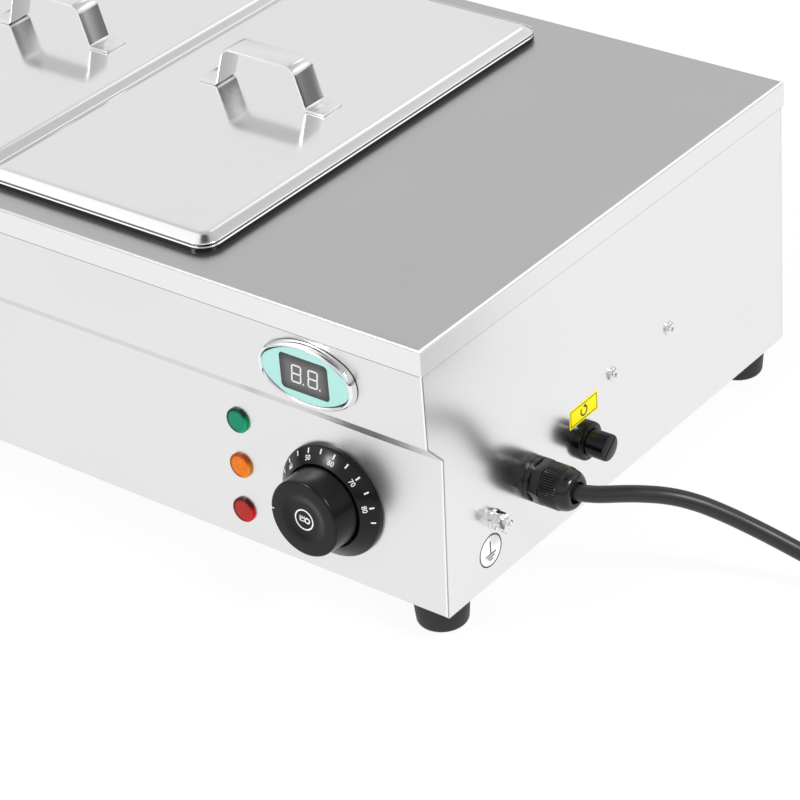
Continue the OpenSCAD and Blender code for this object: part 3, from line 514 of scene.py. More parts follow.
def on_band(node: str) -> Matrix:
    """Finds the place of a piece on the upright band above the control panel.

    Args:
        node: The piece's CAD node.

    Returns:
        The place.
    """
    centre = middle(node)
    centre.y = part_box(node)[1].y
    return facing(centre, Vector((1, 0, 0)), Vector((0, -1, 0)))


def on_side(y: float, z: float) -> Matrix:
    """Returns a place on the right side panel at a height and a distance back."""
    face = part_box("right_side_panel")[1].x
    return facing(Vector((face, y, z)), Vector((0, 1, 0)), Vector((1, 0, 0)))


def beside(node: str) -> Matrix:
    """Returns the place of a piece on the right side panel."""
    centre = middle(node)
    return on_side(centre.y, centre.z)


# Finishes


def add_node(
    tree: bpy.types.NodeTree, kind: str, inputs: dict[int | str, object], **settings: str
) -> bpy.types.Node:
    """Adds a shader node.

    Args:
        tree: The tree that it is added to.
        kind: Its type, without the word that all shader nodes begin with.
        inputs: By name or number, an input's value or the socket that is led to it.
        settings: The node's own settings.

    Returns:
        The node.
    """
    node = tree.nodes.new(f"ShaderNode{kind}")
    for name, value in settings.items():
        setattr(node, name, value)
    for name, value in inputs.items():
        if isinstance(value, Socket):
            tree.links.new(value, node.inputs[name])
        else:
            node.inputs[name].default_value = value
    return node


class Shader:
    """A Principled material whose patterns lie on object coordinates in metres."""

    def __init__(self, name: str) -> None:
        """Starts a material with that name."""
        material = bpy.data.materials.new(name)
        material.use_nodes = True
        self.tree = material.node_tree
        self.surface = self.tree.nodes["Principled BSDF"]
        self.place = self.add("TexCoord", {}).outputs["Object"]

    def add(self, kind: str, inputs: dict[int | str, object], **settings: str) -> bpy.types.Node:
        """Adds a node to the material, as add_node says."""
        return add_node(self.tree, kind, inputs, **settings)

    def plain(self, **sockets: float) -> None:
        """Sets the surface's own sockets, named with underscores for spaces."""
        for name, value in sockets.items():
            self.surface.inputs[name.replace("_", " ")].default_value = value

    def lead(self, value: Socket, name: str) -> None:
        """Leads a value or colour to one of the surface's sockets."""
        self.tree.links.new(value, self.surface.inputs[name])

    def noise(self, scale: float, stretch: Triple = (1, 1, 1), detail: float = 3.0) -> Socket:
        """Adds a noise pattern.

        Args:
            scale: Its features per metre.
            stretch: Its scale along X, Y and Z.
            detail: How many octaves it has.

        Returns:
            The noise's value, about 0.5 in the middle.
        """
        place = self.add("Mapping", {"Vector": self.place, "Scale": stretch}).outputs["Vector"]
        return self.add("TexNoise", {"Vector": place, "Scale": scale, "Detail": detail}).outputs["Fac"]

    def ranged(self, value: Socket, source: Pair, target: Pair = (0, 1)) -> Socket:
        """Maps one range of a value to another and holds it at the ends.

        Args:
            value: The value.
            source: The range that it comes from.
            target: The range that it is mapped to.

        Returns:
            The mapped value.
        """
        ends = dict(zip(("From Min", "From Max", "To Min", "To Max"), (*source, *target)))
        return self.add("MapRange", {"Value": value, **ends}).outputs["Result"]

    def along(self, direction: Triple, start: Vector, reach: Pair) -> Socket:
        """Tells how far a point lies from a start along a direction.

        Args:
            direction: The direction.
            start: The start in metres.
            reach: The distances in millimetres at which the value is 0 and 1.

        Returns:
            The value, from 0 to 1.
        """
        dot = self.add("VectorMath", {0: self.place, 1: direction}, operation="DOT_PRODUCT")
        offset = start.dot(Vector(direction))
        return self.ranged(dot.outputs["Value"], tuple(offset + step * MM for step in reach))

    def outside(self, centre: Vector, core: Vector, reach: Pair) -> Socket:
        """Tells how far a point lies from a box, so that the same distance has rounded corners.

        Args:
            centre: The middle of the box in metres.
            core: Half the sizes of the box in metres.
            reach: The distances in millimetres at which the value is 0 and 1.

        Returns:
            The value, from 0 to 1.
        """
        steps = (
            ("SUBTRACT", {1: centre}), ("ABSOLUTE", {}), ("SUBTRACT", {1: core}), ("MAXIMUM", {1: (0, 0, 0)}),
            ("LENGTH", {}))
        value = self.place
        for operation, other in steps:
            node = self.add("VectorMath", {0: value, **other}, operation=operation)
            value = node.outputs["Value" if operation == "LENGTH" else "Vector"]
        return self.ranged(value, tuple(step * MM for step in reach))

    def blend(self, value: Socket, first: Colour | Socket, second: Colour | Socket) -> Socket:
        """Blends two colours by a value.

        Args:
            value: The value, from 0 to 1.
            first: The colour at 0.
            second: The colour at 1.

        Returns:
            The blended colour.
        """
        tints = [(*tint, 1.0) if isinstance(tint, tuple) else tint for tint in (first, second)]
        mix = self.add("Mix", {0: value, **dict(zip(COLOUR_ENDS, tints))}, data_type="RGBA")
        return mix.outputs[COLOUR_OUT]

    def bump(self, value: Socket, depth: float) -> None:
        """Raises the surface by a value, whose 1 is so many millimetres high."""
        node = self.add("Bump", {"Height": value, "Distance": depth * MM})
        self.lead(node.outputs["Normal"], "Normal")


@dataclass(frozen=True)
class Finish:
    """A named finish, whose material is made once."""

    name: str
    tint: Colour
    roughness: float

    def shade(self, share: float) -> Colour:
        """Returns the tint made darker or paler."""
        return tuple(min(1.0, c * share) for c in self.tint)

    def uneven(self, shader: Shader, value: Socket, share: float) -> None:
        """Lets the roughness vary by a share with a noise."""
        ends = (self.roughness * (1 - share), min(1.0, self.roughness * (1 + share)))
        shader.lead(shader.ranged(value, NOISE_RANGE, ends), "Roughness")

    def paint(self, shader: Shader) -> None:
        """Gives the shader the finish's colour, roughness and relief."""
        raise NotImplementedError

    def material(self) -> bpy.types.Material:
        """Makes the finish's material, the first time only.

        Returns:
            The material.
        """
        if self.name not in bpy.data.materials:
            self.paint(Shader(self.name))
        return bpy.data.materials[self.name]


@dataclass(frozen=True)
class Metal(Finish):
    """Sheet or turned metal with polishing lines and faint clouds."""

    grain: Grain = Grain.NONE
    line_scale: float = 2600.0
    line_depth: float = 0.0006
    line_share: float = 0.06
    cloud: float = 0.03
    cloud_scale: float = 9.0

    def tone(self, shader: Shader) -> Socket:
        """Returns the colour with its clouds."""
        clouds = shader.noise(self.cloud_scale, detail=2.0)
        return shader.blend(clouds, self.shade(1 - self.cloud), self.shade(1 + self.cloud))

    def paint(self, shader: Shader) -> None:
        """Gives the shader a metal's colour, roughness and polishing lines.

        Args:
            shader: The finish's shader.
        """
        shader.plain(Metallic=1.0)
        lines = shader.noise(self.line_scale, self.grain.value)
        self.uneven(shader, lines, self.line_share)
        shader.lead(self.tone(shader), "Base Color")
        shader.bump(lines, self.line_depth)


class Corner(Enum):
    """The corner of a CAD node's box that a strip is measured from."""

    LOW = 0
    HIGH = 1


@dataclass(frozen=True)
class Strip:
    """A strip of another tint on a sheet, which starts and is full so many millimetres from a corner."""

    node: str
    corner: Corner
    direction: Triple
    reach: Pair
    tint: Colour

    def lay(self, shader: Shader, tone: Socket) -> Socket:
        """Lays the strip over a colour.

        Args:
            shader: The sheet's shader.
            tone: The colour.

        Returns:
            The colour with the strip.
        """
        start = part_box(self.node)[self.corner.value]
        return shader.blend(shader.along(self.direction, start, self.reach), tone, self.tint)


def end_strips(node: str, reach: Pair, tint: Colour) -> tuple[Strip, Strip]:
    """Returns the strips along a node's left and right ends."""
    return Strip(node, Corner.LOW, (-1, 0, 0), reach, tint), Strip(node, Corner.HIGH, (1, 0, 0), reach, tint)


@dataclass(frozen=True)
class EdgedSheet(Metal):
    """Sheet with strips of other tints along its folds, rims and cut edges: painted highlights, painted shade and
    dark cut edges.
    """

    strips: tuple[Strip, ...] = ()

    def tone(self, shader: Shader) -> Socket:
        """Returns the sheet's colour with its strips.

        Args:
            shader: The sheet's shader.

        Returns:
            The colour.
        """
        tone = super().tone(shader)
        for strip in self.strips:
            tone = strip.lay(shader, tone)
        return tone


@dataclass(frozen=True)
class GapSheet(Metal):
    """Pressed sheet of a pan or lid, with a painted shadow in the narrow gap where the lid lies on the pan's
    flange.
    """

    node: str = ""
    corner: float = 12.0
    inside: Pair = (0.0, 0.0)
    below: Pair = (0.0, 0.0)
    shadow: Colour = (0.03, 0.03, 0.03)

    def tone(self, shader: Shader) -> Socket:
        """Finds the sheet's colour with its painted shadow strip.

        Args:
            shader: The sheet's shader.

        Returns:
            The colour.
        """
        low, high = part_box(self.node)
        core = (high - low) / 2 - Vector((self.corner, self.corner, 0)) * MM
        core.z = 1.0
        # Painted shadow: inside the strip set by inside and below the height set by below, the sheet takes the
        # shadow tint of the gap.
        strip = shader.outside((low + high) / 2, core, tuple(self.corner - step for step in self.inside))
        bright = super().tone(shader)
        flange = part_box("pan_right")[1]
        lower = shader.blend(shader.along((0, 0, -1), flange, self.below), bright, self.shadow)
        return shader.blend(strip, bright, lower)


@dataclass(frozen=True)
class Plastic(Finish):
    """Moulded plastic or rubber with a fine skin texture."""

    skin_scale: float = 1800.0
    skin_depth: float = 0.01
    coat: float = 0.0
    vary: float = 0.12
    shine: float = 0.5
    coat_roughness: float = 0.08
    cloud_scale: float = 60.0
    cloud_share: float = 0.15

    def tone(self, shader: Shader, clouds: Socket) -> Socket:
        """Returns the colour with its faint variation."""
        return shader.blend(clouds, self.shade(1 - self.vary), self.shade(1 + self.vary))

    def paint(self, shader: Shader) -> None:
        """Gives the shader a plastic's colour, gloss and skin.

        Args:
            shader: The finish's shader.
        """
        shader.plain(
            Coat_Weight=self.coat, Coat_Roughness=self.coat_roughness, Specular_IOR_Level=self.shine)
        clouds = shader.noise(self.cloud_scale, detail=2.0)
        self.uneven(shader, clouds, self.cloud_share)
        shader.lead(self.tone(shader, clouds), "Base Color")
        shader.bump(shader.noise(self.skin_scale, detail=4.0), self.skin_depth)


@dataclass(frozen=True)
class WindowPane(Plastic):
    """Smoked display window, painted paler in the middle with painted light where its figures shine through."""

    # How many times paler the painted light in the middle is
    paler: float = 10.0
    rim: Pair = (1.0, 6.5)

    def tone(self, shader: Shader, clouds: Socket) -> Socket:
        """Finds the colour from the painted pale middle out to the dark rim.

        Args:
            shader: The window's shader.
            clouds: The noise of the faint variation.

        Returns:
            The colour.
        """
        low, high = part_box("display_window")
        core = (high - low) / 2 - Vector((1, 0, 1)) * self.rim[1] * MM
        rim = shader.outside((low + high) / 2, core, self.rim)
        return shader.blend(rim, self.shade(self.paler), super().tone(shader, clouds))


@dataclass(frozen=True)
class LensGlass(Finish):
    """Clear coloured plastic of a signal lamp: a finely ribbed face, a deep rim and a wall with painted light on
    its lit side.
    """

    node: str
    rim: Colour
    wall: Colour
    lit_side: Triple = (0.86, 0.0, -0.51)
    gloss: float = 0.16
    grain_scale: float = 1500.0
    grain_shades: Pair = (0.72, 1.2)
    lit_from: Pair = (0.35, 0.75)
    rim_from: Pair = (0.76, 0.90)

    def paint(self, shader: Shader) -> None:
        """Gives the shader the lens's face, rim and painted lit wall, whose reaches are shares of its radius.

        Args:
            shader: The lens's shader.
        """
        shader.plain(Roughness=self.roughness, Specular_IOR_Level=self.gloss)
        low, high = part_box(self.node)
        centre = (low + high) / 2
        radius = (high.x - low.x) / 2 / MM
        grain = shader.ranged(shader.noise(self.grain_scale, detail=1.0), NOISE_RANGE)
        face = shader.blend(grain, *(self.shade(share) for share in self.grain_shades))
        # Painted light: the rim turns to the bright wall colour towards the lit side.
        lit = shader.along(self.lit_side, centre, tuple(share * radius for share in self.lit_from))
        edge = shader.blend(lit, self.rim, self.wall)
        outer = shader.outside(centre, Vector(), tuple(share * radius for share in self.rim_from))
        shader.lead(shader.blend(outer, face, edge), "Base Color")


# Painted highlight: white strips along the bends at the top plate's ends and the front panel's ends, standing in
# for glints on the folds.
PAINTED_HIGHLIGHT = (1.0, 1.0, 1.0)
CUT_EDGE = (0.42, 0.42, 0.42)
# Painted shade: a dark line on the panels just below the top plate's rim, standing in for the shade in the gap
# under the rim.
PAINTED_SHADE_UNDER_RIM = Strip("top_plate", Corner.LOW, (0, 0, 1), (-1.35, -1.15), (0.16, 0.16, 0.16))
# Painted light: below its fold the top plate's rim is painted paler than its brushed flat, a lit copy of the same
# steel, as pale as the panels.
PAINTED_PALER_RIM = Strip("top_plate", Corner.HIGH, (0, 0, -1), (0.9, 1.3), (0.85, 0.85, 0.85))
# Painted shadow: a dark band round the foot of the display bezel, next to the panel.
PAINTED_SHADOW_AT_BEZEL_FOOT = Strip("display_bezel", Corner.HIGH, (0, -1, 0), (0.65, 0.45), (0.02, 0.02, 0.02))
# Brushed top plate: its flat tinted darker than its rim, with painted highlights at its end bends and its rim
# painted paler.
BRUSHED_TOP = EdgedSheet(
    "brushed top", (0.50, 0.50, 0.503), 0.30, Grain.ALONG_Y, line_depth=0.0002,
    strips=(*end_strips("top_plate", (-1.5, -1.2), PAINTED_HIGHLIGHT), PAINTED_PALER_RIM))
# Side and back panels, with the painted shade under the rim.
SATIN_PANEL = EdgedSheet(
    "satin panel", (0.84, 0.84, 0.84), 0.21, Grain.ALONG_Y, line_depth=0.00002, line_share=0.02, cloud=0.02,
    strips=(PAINTED_SHADE_UNDER_RIM,))
# Front panel, with the painted shade under the rim, painted highlights at its end bends and dark cut edges.
FRONT_PANEL = EdgedSheet(
    "front panel", (0.80, 0.80, 0.80), 0.31, Grain.ALONG_X, line_depth=0.00002, line_share=0.02, cloud=0.02,
    strips=(
        PAINTED_SHADE_UNDER_RIM,
        *end_strips("front_panel", (-1.25, -1.05), PAINTED_HIGHLIGHT),
        *end_strips("front_panel", (-0.06, -0.03), CUT_EDGE),
    ))
SATIN_INNER = Metal("satin inner sheet", (0.79, 0.79, 0.79), 0.29, cloud=0.02)
DRAWN_TANK = Metal("drawn tank", (0.76, 0.76, 0.765), 0.18, line_depth=0.0002)
ZINC = Metal("zinc plate", (0.72, 0.72, 0.70), 0.22)
BRIGHT_NUT = Metal("bright nut", (0.82, 0.82, 0.82), 0.06, line_depth=0.0001)
SHEATH = Metal("heater sheath", (0.26, 0.24, 0.23), 0.42, cloud=0.2)
COPPER = Metal("copper tube", (0.72, 0.42, 0.27), 0.28, cloud=0.1)
BRASS = Metal("terminal brass", (0.72, 0.56, 0.25), 0.3, cloud=0.06)
CHROME = Metal("chrome", (0.88, 0.88, 0.89), 0.03, line_depth=0.00005, cloud=0.01)
# Bezel chrome, with the painted shadow at its foot.
BEZEL_CHROME = EdgedSheet(
    "bezel chrome", (0.88, 0.88, 0.89), 0.03, line_depth=0.00005, cloud=0.01, strips=(PAINTED_SHADOW_AT_BEZEL_FOOT,))
MINT = Plastic("mint fascia", (0.385, 0.70, 0.66), 0.22, skin_depth=0.002, coat=0.4, vary=0.03)
WINDOW = WindowPane("dark window", (0.010, 0.010, 0.010), 0.18, skin_depth=0.001, coat=0.3, vary=0.08)
SATIN_BLACK = Plastic("satin black", (0.003, 0.003, 0.003), 0.22, skin_depth=0.002, shine=0.27)
GLOSS_BLACK = Plastic("gloss black", (0.003, 0.003, 0.003), 0.14, skin_depth=0.001, shine=0.26)
GLAND_BLACK = Plastic("gland black", (0.008, 0.008, 0.008), 0.19, skin_depth=0.002, shine=0.42)
WHITE = Plastic("white plastic", (0.78, 0.78, 0.76), 0.4)
RED = Plastic("red plastic", (0.55, 0.03, 0.03), 0.35)
FOOT_RUBBER = Plastic(
    "foot rubber", (0.012, 0.012, 0.012), 0.5, skin_scale=1200.0, skin_depth=0.02, shine=0.4)
CORD_RUBBER = Plastic(
    "cord rubber", (0.015, 0.015, 0.015), 0.34, skin_scale=1500.0, skin_depth=0.012, shine=0.45)
PRINT_WHITE = Plastic("white print", (0.88, 0.88, 0.88), 0.5, skin_depth=0.001, vary=0.02)
PRINT_DARK = Plastic("dark print", (0.010, 0.010, 0.010), 0.5, skin_depth=0.001, vary=0.1)
SEGMENT = Plastic("display figure", (0.72, 0.71, 0.72), 0.35, skin_depth=0.001, vary=0.04)
YELLOW = Plastic("yellow label", (1.0, 0.86, 0.012), 0.45, skin_depth=0.002, vary=0.02, shine=0.1)
STICKER = Plastic("pale label", (0.90, 0.90, 0.90), 0.4, skin_depth=0.002, vary=0.02, shine=0.2)
# The last colour of each lens is its bright wall, painted light on its lit side.
GREEN_LENS = LensGlass(
    "green lens", (0.003, 0.245, 0.125), 0.09, "lamp_green", (0.003, 0.045, 0.026), (0.001, 0.34, 0.13))
ORANGE_LENS = LensGlass(
    "orange lens", (0.77, 0.185, 0.010), 0.09, "lamp_orange", (0.34, 0.055, 0.004), (0.78, 0.24, 0.012))
RED_LENS = LensGlass(
    "red lens", (0.43, 0.021, 0.016), 0.09, "lamp_red", (0.07, 0.006, 0.006), (0.66, 0.005, 0.014))


def pan_sheet(side: str) -> GapSheet:
    """Returns the finish of one pan, with a painted shadow under the flange's outer edge."""
    return GapSheet(
        f"drawn pan {side}", (0.78, 0.78, 0.785), 0.14, line_depth=0.0001, node=f"pan_{side}",
        inside=(0.9, 0.7), below=(0.7, 0.9))


def lid_sheet(side: str) -> GapSheet:
    """Returns the finish of one lid, with a painted shadow at the foot of its edge and bead."""
    return GapSheet(
        f"bright lid {side}", (0.80, 0.80, 0.80), 0.13, line_depth=0.0001, node=f"lid_{side}",
        inside=(-2.0, -1.0), below=(-1.55, -1.35))


SIDES = ("left", "middle", "right")
NODE_FINISH: dict[str, Finish] = {
    "front_panel": FRONT_PANEL,
    "right_side_panel": SATIN_PANEL,
    "left_side_panel": SATIN_PANEL,
    "back_panel": SATIN_PANEL,
    **{f"pan_{side}": pan_sheet(side) for side in SIDES},
    **{f"lid_{side}": lid_sheet(side) for side in SIDES},
}
SLOT_FINISH: dict[str, Finish] = {
    "brushed_steel": BRUSHED_TOP,
    "satin_steel": SATIN_INNER,
    "drawn_steel": DRAWN_TANK,
    "zinc_steel": ZINC,
    "heater_sheath": SHEATH,
    "copper": COPPER,
    "terminal_brass": BRASS,
    "chrome": CHROME,
    "mint_plastic": MINT,
    "dark_window": WINDOW,
    "black_plastic": SATIN_BLACK,
    "gland_plastic": GLAND_BLACK,
    "white_plastic": WHITE,
    "red_plastic": RED,
    "green_lens": GREEN_LENS,
    "orange_lens": ORANGE_LENS,
    "red_lens": RED_LENS,
    "black_rubber": FOOT_RUBBER,
    "cord_rubber": CORD_RUBBER,
}


def dress(
    obj: Piece,
    name: str,
    finish: Finish,
    slot: str,
    body: str = "root",
    stands_for: Sequence[str] = (),
    smooth: float = 35.0,
) -> None:
    """Names a finished piece, gives it its finish and fixes it to its body.

    Args:
        obj: The piece.
        name: Its name.
        finish: Its finish.
        slot: The record's material slot that it belongs to; not used.
        body: The body that it moves with.
        stands_for: The CAD nodes that it replaces.
        smooth: The angle in degrees below which its edges are shaded smooth.
    """
    obj.name = name
    obj.data.name = name
    obj.data.materials.clear()
    obj.data.materials.append(finish.material())
    if obj.type == "MESH":
        take(obj)
        bpy.ops.object.shade_smooth_by_angle(angle=math.radians(smooth))
    deselect_all()
    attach(obj, body)
    if stands_for:
        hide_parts(*stands_for)
    LOG.info("%s moves with %s, finish %s", name, body, finish.name)


def mount(obj: Piece, place: Matrix, *dressing: object, **options: object) -> None:
    """Moves a piece to its place, tidies its mesh and dresses it.

    Args:
        obj: The piece.
        place: The matrix from the piece's own coordinates to the part's.
        dressing: What dress takes after the piece, in its order.
        options: What dress takes by name.
    """
    settle(obj, place)
    tidy_mesh(obj)
    dress(obj, *dressing, **options)


def dress_cad_nodes() -> None:
    """Gives every CAD node its own finish, or else the finish of its material slot."""
    for part in frame["record"]["subparts"]:
        obj = frame["nodes"][part["node"]]
        material = NODE_FINISH.get(part["node"], SLOT_FINISH[part["material_slot"]]).material()
        if not obj.material_slots:
            obj.data.materials.append(material)
        for slot in obj.material_slots:
            slot.material = material
        LOG.info("%s keeps its solid, finish %s", part["node"], material.name)


# Studio


@dataclass(frozen=True)
class SoftBox:
    """A soft box in the studio's surroundings, or a dark flag below a strength of 0; angles in degrees."""

    towards: Triple
    half_angle: float
    strength: float
    edge: float = 14.0

    def add(self, tree: bpy.types.NodeTree, place: Socket, light: Socket) -> Socket:
        """Adds its light to the surroundings.

        Args:
            tree: The world's nodes.
            place: The direction that is looked along.
            light: The light so far.

        Returns:
            The light with the soft box.
        """
        towards = Vector(self.towards).normalized()
        dot = add_node(tree, "VectorMath", {0: place, 1: towards}, operation="DOT_PRODUCT")
        reach = {
            "Value": dot.outputs["Value"],
            "From Min": math.cos(math.radians(self.half_angle + self.edge)),
            "From Max": math.cos(math.radians(self.half_angle)),
            "To Max": self.strength,
        }
        soft = add_node(tree, "MapRange", reach, interpolation_type="SMOOTHSTEP")
        return add_node(tree, "Math", {0: light, 1: soft.outputs["Result"]}).outputs[0]


@dataclass
class Studio:
    """Camera at the photograph's view, pale floor and plain soft light."""

    azimuth: float = 40.21
    elevation: float = 32.20
    roll: float = -4.82
    eye_from_corner: Triple = (0.8815, -1.0621, 0.8401)
    focal_length: float = 137.42
    sensor: float = 36.0
    floor_size: float = 40.0
    floor_grey: float = 0.9
    floor_glow: float = 0.90
    lamps_aim: Triple = (0.0, 0.0, 0.1)

    # Grey of the walls and ceiling by the height of the direction that is looked along
    walls = (
        (0.0, 0.12), (0.09, 0.18), (0.20, 0.84), (0.45, 0.95), (0.66, 0.88), (0.75, 0.70), (0.95, 0.55),
        (0.99, 0.10))
    dimmest = 0.03
    boxes = (
        SoftBox((-0.57, -0.34, 0.75), 20.0, 0.55),
        SoftBox((0.53, 0.65, 0.55), 8.0, 0.60, 8.0),
        SoftBox((-0.17, 0.68, 0.70), 5.0, 0.50, 5.0),
        SoftBox((0.75, -0.66, 0.05), 9.0, -0.90, 3.0),
        SoftBox((0.94, 0.20, 0.20), 14.0, -0.40, 6.0),
    )
    # Each lamp's name, place, side in metres and watts
    lamps = (("key lamp", (-0.95, -2.2, 1.7), 0.40, 24.0), ("side lamp", (2.1, 0.0, 2.0), 0.55, 36.0))

    def camera(self) -> None:
        """Places the camera from the top plate's front right corner."""
        low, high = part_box("top_plate")
        corner = Vector((high.x, low.y, high.z))
        turn, rise, roll = (math.radians(a) for a in (self.azimuth, self.elevation, self.roll))
        level = Vector((math.cos(turn), math.sin(turn), 0))
        ahead = Vector((-math.sin(turn) * math.cos(rise), math.cos(turn) * math.cos(rise), -math.sin(rise)))
        right = level * math.cos(roll) + level.cross(ahead) * math.sin(roll)
        data = bpy.data.cameras.new("camera")
        data.sensor_width = self.sensor
        data.lens = self.focal_length
        camera = bpy.data.objects.new("camera", data)
        bpy.context.scene.collection.objects.link(camera)
        camera.matrix_world = facing(corner + Vector(self.eye_from_corner), right, -ahead)
        bpy.context.scene.camera = camera
        LOG.info("camera looks along %s", tuple(ahead))

    def floor(self) -> None:
        """Lays the floor, white to the camera and in reflections, with a faint shadow."""
        deselect_all()
        bpy.ops.mesh.primitive_plane_add(size=self.floor_size)
        floor = bpy.context.active_object
        floor.name = "floor"
        material = bpy.data.materials.new("studio floor")
        material.use_nodes = True
        tree = material.node_tree
        tree.nodes.clear()
        grey = self.floor_grey
        matt = add_node(tree, "BsdfDiffuse", {"Color": (grey, grey, grey, 1)}).outputs[0]
        white = add_node(tree, "Emission", {"Strength": 1.0}).outputs[0]
        shown = add_node(tree, "MixShader", {"Fac": self.floor_glow, 1: matt, 2: white}).outputs[0]
        path = add_node(tree, "LightPath", {}).outputs
        seen = path["Is Camera Ray"]
        for ray in ("Is Glossy Ray", "Is Transmission Ray"):
            seen = add_node(tree, "Math", {0: seen, 1: path[ray]}, operation="MAXIMUM").outputs[0]
        choice = add_node(tree, "MixShader", {"Fac": seen, 1: matt, 2: shown}).outputs[0]
        add_node(tree, "OutputMaterial", {"Surface": choice})
        floor.data.materials.append(material)

    def surroundings(self) -> None:
        """Sets the studio's walls and ceiling: pale above, darker at the horizon and overhead."""
        world = bpy.data.worlds.new("studio")
        bpy.context.scene.world = world
        world.use_nodes = True
        tree = world.node_tree
        place = add_node(tree, "TexCoord", {}).outputs["Generated"]
        height = add_node(tree, "SeparateXYZ", {0: place}).outputs["Z"]
        ramp = add_node(tree, "ValToRGB", {"Fac": height})
        stops = ramp.color_ramp.elements
        while len(stops) < len(self.walls):
            stops.new(0.5)
        for stop, (position, grey) in zip(stops, self.walls):
            stop.position = position
            stop.color = (grey, grey, grey, 1)
        light = ramp.outputs["Color"]
        for box in self.boxes:
            light = box.add(tree, place, light)
        least = add_node(tree, "Math", {0: light, 1: self.dimmest}, operation="MAXIMUM").outputs[0]
        sky = tree.nodes["Background"]
        sky.inputs["Color"].default_value = (1, 1, 1, 1)
        tree.links.new(least, sky.inputs["Strength"])

    def lamp(self, name: str, place: Triple, size: float, watts: float) -> None:
        """Adds a square soft lamp that looks at the middle of the object.

        Args:
            name: Its name.
            place: Where it hangs.
            size: Its side in metres.
            watts: Its power.
        """
        data = bpy.data.lights.new(name, "AREA")
        data.shape = "SQUARE"
        data.size = size
        data.energy = watts
        lamp = bpy.data.objects.new(name, data)
        bpy.context.scene.collection.objects.link(lamp)
        lamp.location = place
        aim = Vector(self.lamps_aim) - Vector(place)
        lamp.rotation_euler = aim.to_track_quat("-Z", "Y").to_euler()

    def build(self) -> None:
        """Makes the whole studio."""
        bpy.context.scene.view_settings.view_transform = "Standard"
        self.camera()
        self.floor()
        self.surroundings()
        for lamp in self.lamps:
            self.lamp(*lamp)


# Cord


@dataclass
class Cord:
    """The mains cord from the gland to its coil, in millimetres."""

    diameter: float = 10.2
    length: float = 1648.7
    heading: float = 5.0
    turns: float = 1.8125
    step: float = 11.2
    layer: float = 10.8
    middle_radius: float = 53.0
    dip: float = 1.6
    points_per_turn: int = 24
    lying: float = 0.68

    # Steps right, back and up from the middle of the gland's nose, then along the worktop
    route = (
        (-25, 0, 0), (-17, 0, 0), (-9, 0, 0), (0, 1, 0), (8.4, 4, 0), (14.4, 7.6, 0), (22.5, 13.4, -0.1),
        (31, 19.5, -0.7), (43, 28.4, -3.1), (55, 37, -8), (67, 45.2, -15.2), (79.5, 53, -23.6),
        (93, 60, -32.2), (107.5, 65.8, -40.4), (123, 70.2, -47.4), (139, 73.4, -52.8), (155, 75.6, -56.4),
        (171, 77.2, -58),
    )
    worktop_run = ((189, 78.8), (207, 80.4), (225, 82))

    def nose(self) -> Vector:
        """Returns the point in the gland's nose where the cord comes out, in metres."""
        centre = middle("gland_nut")
        return Vector((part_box("gland_nut")[1].x, centre.y, centre.z))

    def coil(self, end: Vector) -> list[Vector]:
        """Winds the coil: in on the lower layer, up in half a turn, out on the upper layer.

        Args:
            end: The route's last point in millimetres.

        Returns:
            The coil's points in millimetres, with its straight lead to the plug.
        """
        turn = math.radians(self.heading)
        outer = self.middle_radius + self.step * self.turns / 2
        start = end + self.diameter * Vector((math.cos(turn), math.sin(turn), 0))
        centre = start + outer * Vector((-math.sin(turn), math.cos(turn), 0))
        total = 2 * self.turns + 0.5
        count = round(total * self.points_per_turn)
        points = []
        angle = 0.0
        for i in range(count + 1):
            done = total * i / count
            climb = min(max((done - self.turns) / 0.5, 0.0), 1.0)
            outward = max(done - self.turns - 0.5, 0.0)
            inward = self.step * (min(done, self.turns) - outward) + self.dip * math.sin(math.pi * climb)
            radius = outer - inward
            angle = turn - math.pi / 2 + 2 * math.pi * done
            height = self.layer * climb * climb * (3 - 2 * climb)
            points.append(centre + Vector((radius * math.cos(angle), radius * math.sin(angle), height)))
        lead = Vector((-math.sin(angle), math.cos(angle), 0)) * self.diameter
        return [*points, points[-1] + lead, points[-1] + 2 * lead]

    def build(self) -> None:
        nose = self.nose()
        drop = self.lying * self.diameter - nose.z / MM
        steps = [*self.route, *((x, y, drop) for x, y in self.worktop_run)]
        run = [nose / MM + Vector(step) for step in steps]
        points = run + self.coil(run[-1])
        curve = bpy.data.curves.new("mains_cord", "CURVE")
        curve.dimensions = "3D"
        curve.bevel_depth = self.diameter / 2 * MM
        curve.bevel_resolution = 6
        curve.resolution_u = 5
        curve.use_fill_caps = True
        spline = curve.splines.new("BEZIER")
        spline.bezier_points.add(len(points) - 1)
        for knot, point in zip(spline.bezier_points, points):
            knot.co = point * MM
            knot.handle_left_type = "AUTO"
            knot.handle_right_type = "AUTO"
        cord = bpy.data.objects.new("mains_cord", curve)
        bpy.context.scene.collection.objects.link(cord)
        dress(cord, "mains_cord", CORD_RUBBER, "cord_rubber", stands_for=("power_cord", "cord_coil"))


# Lids


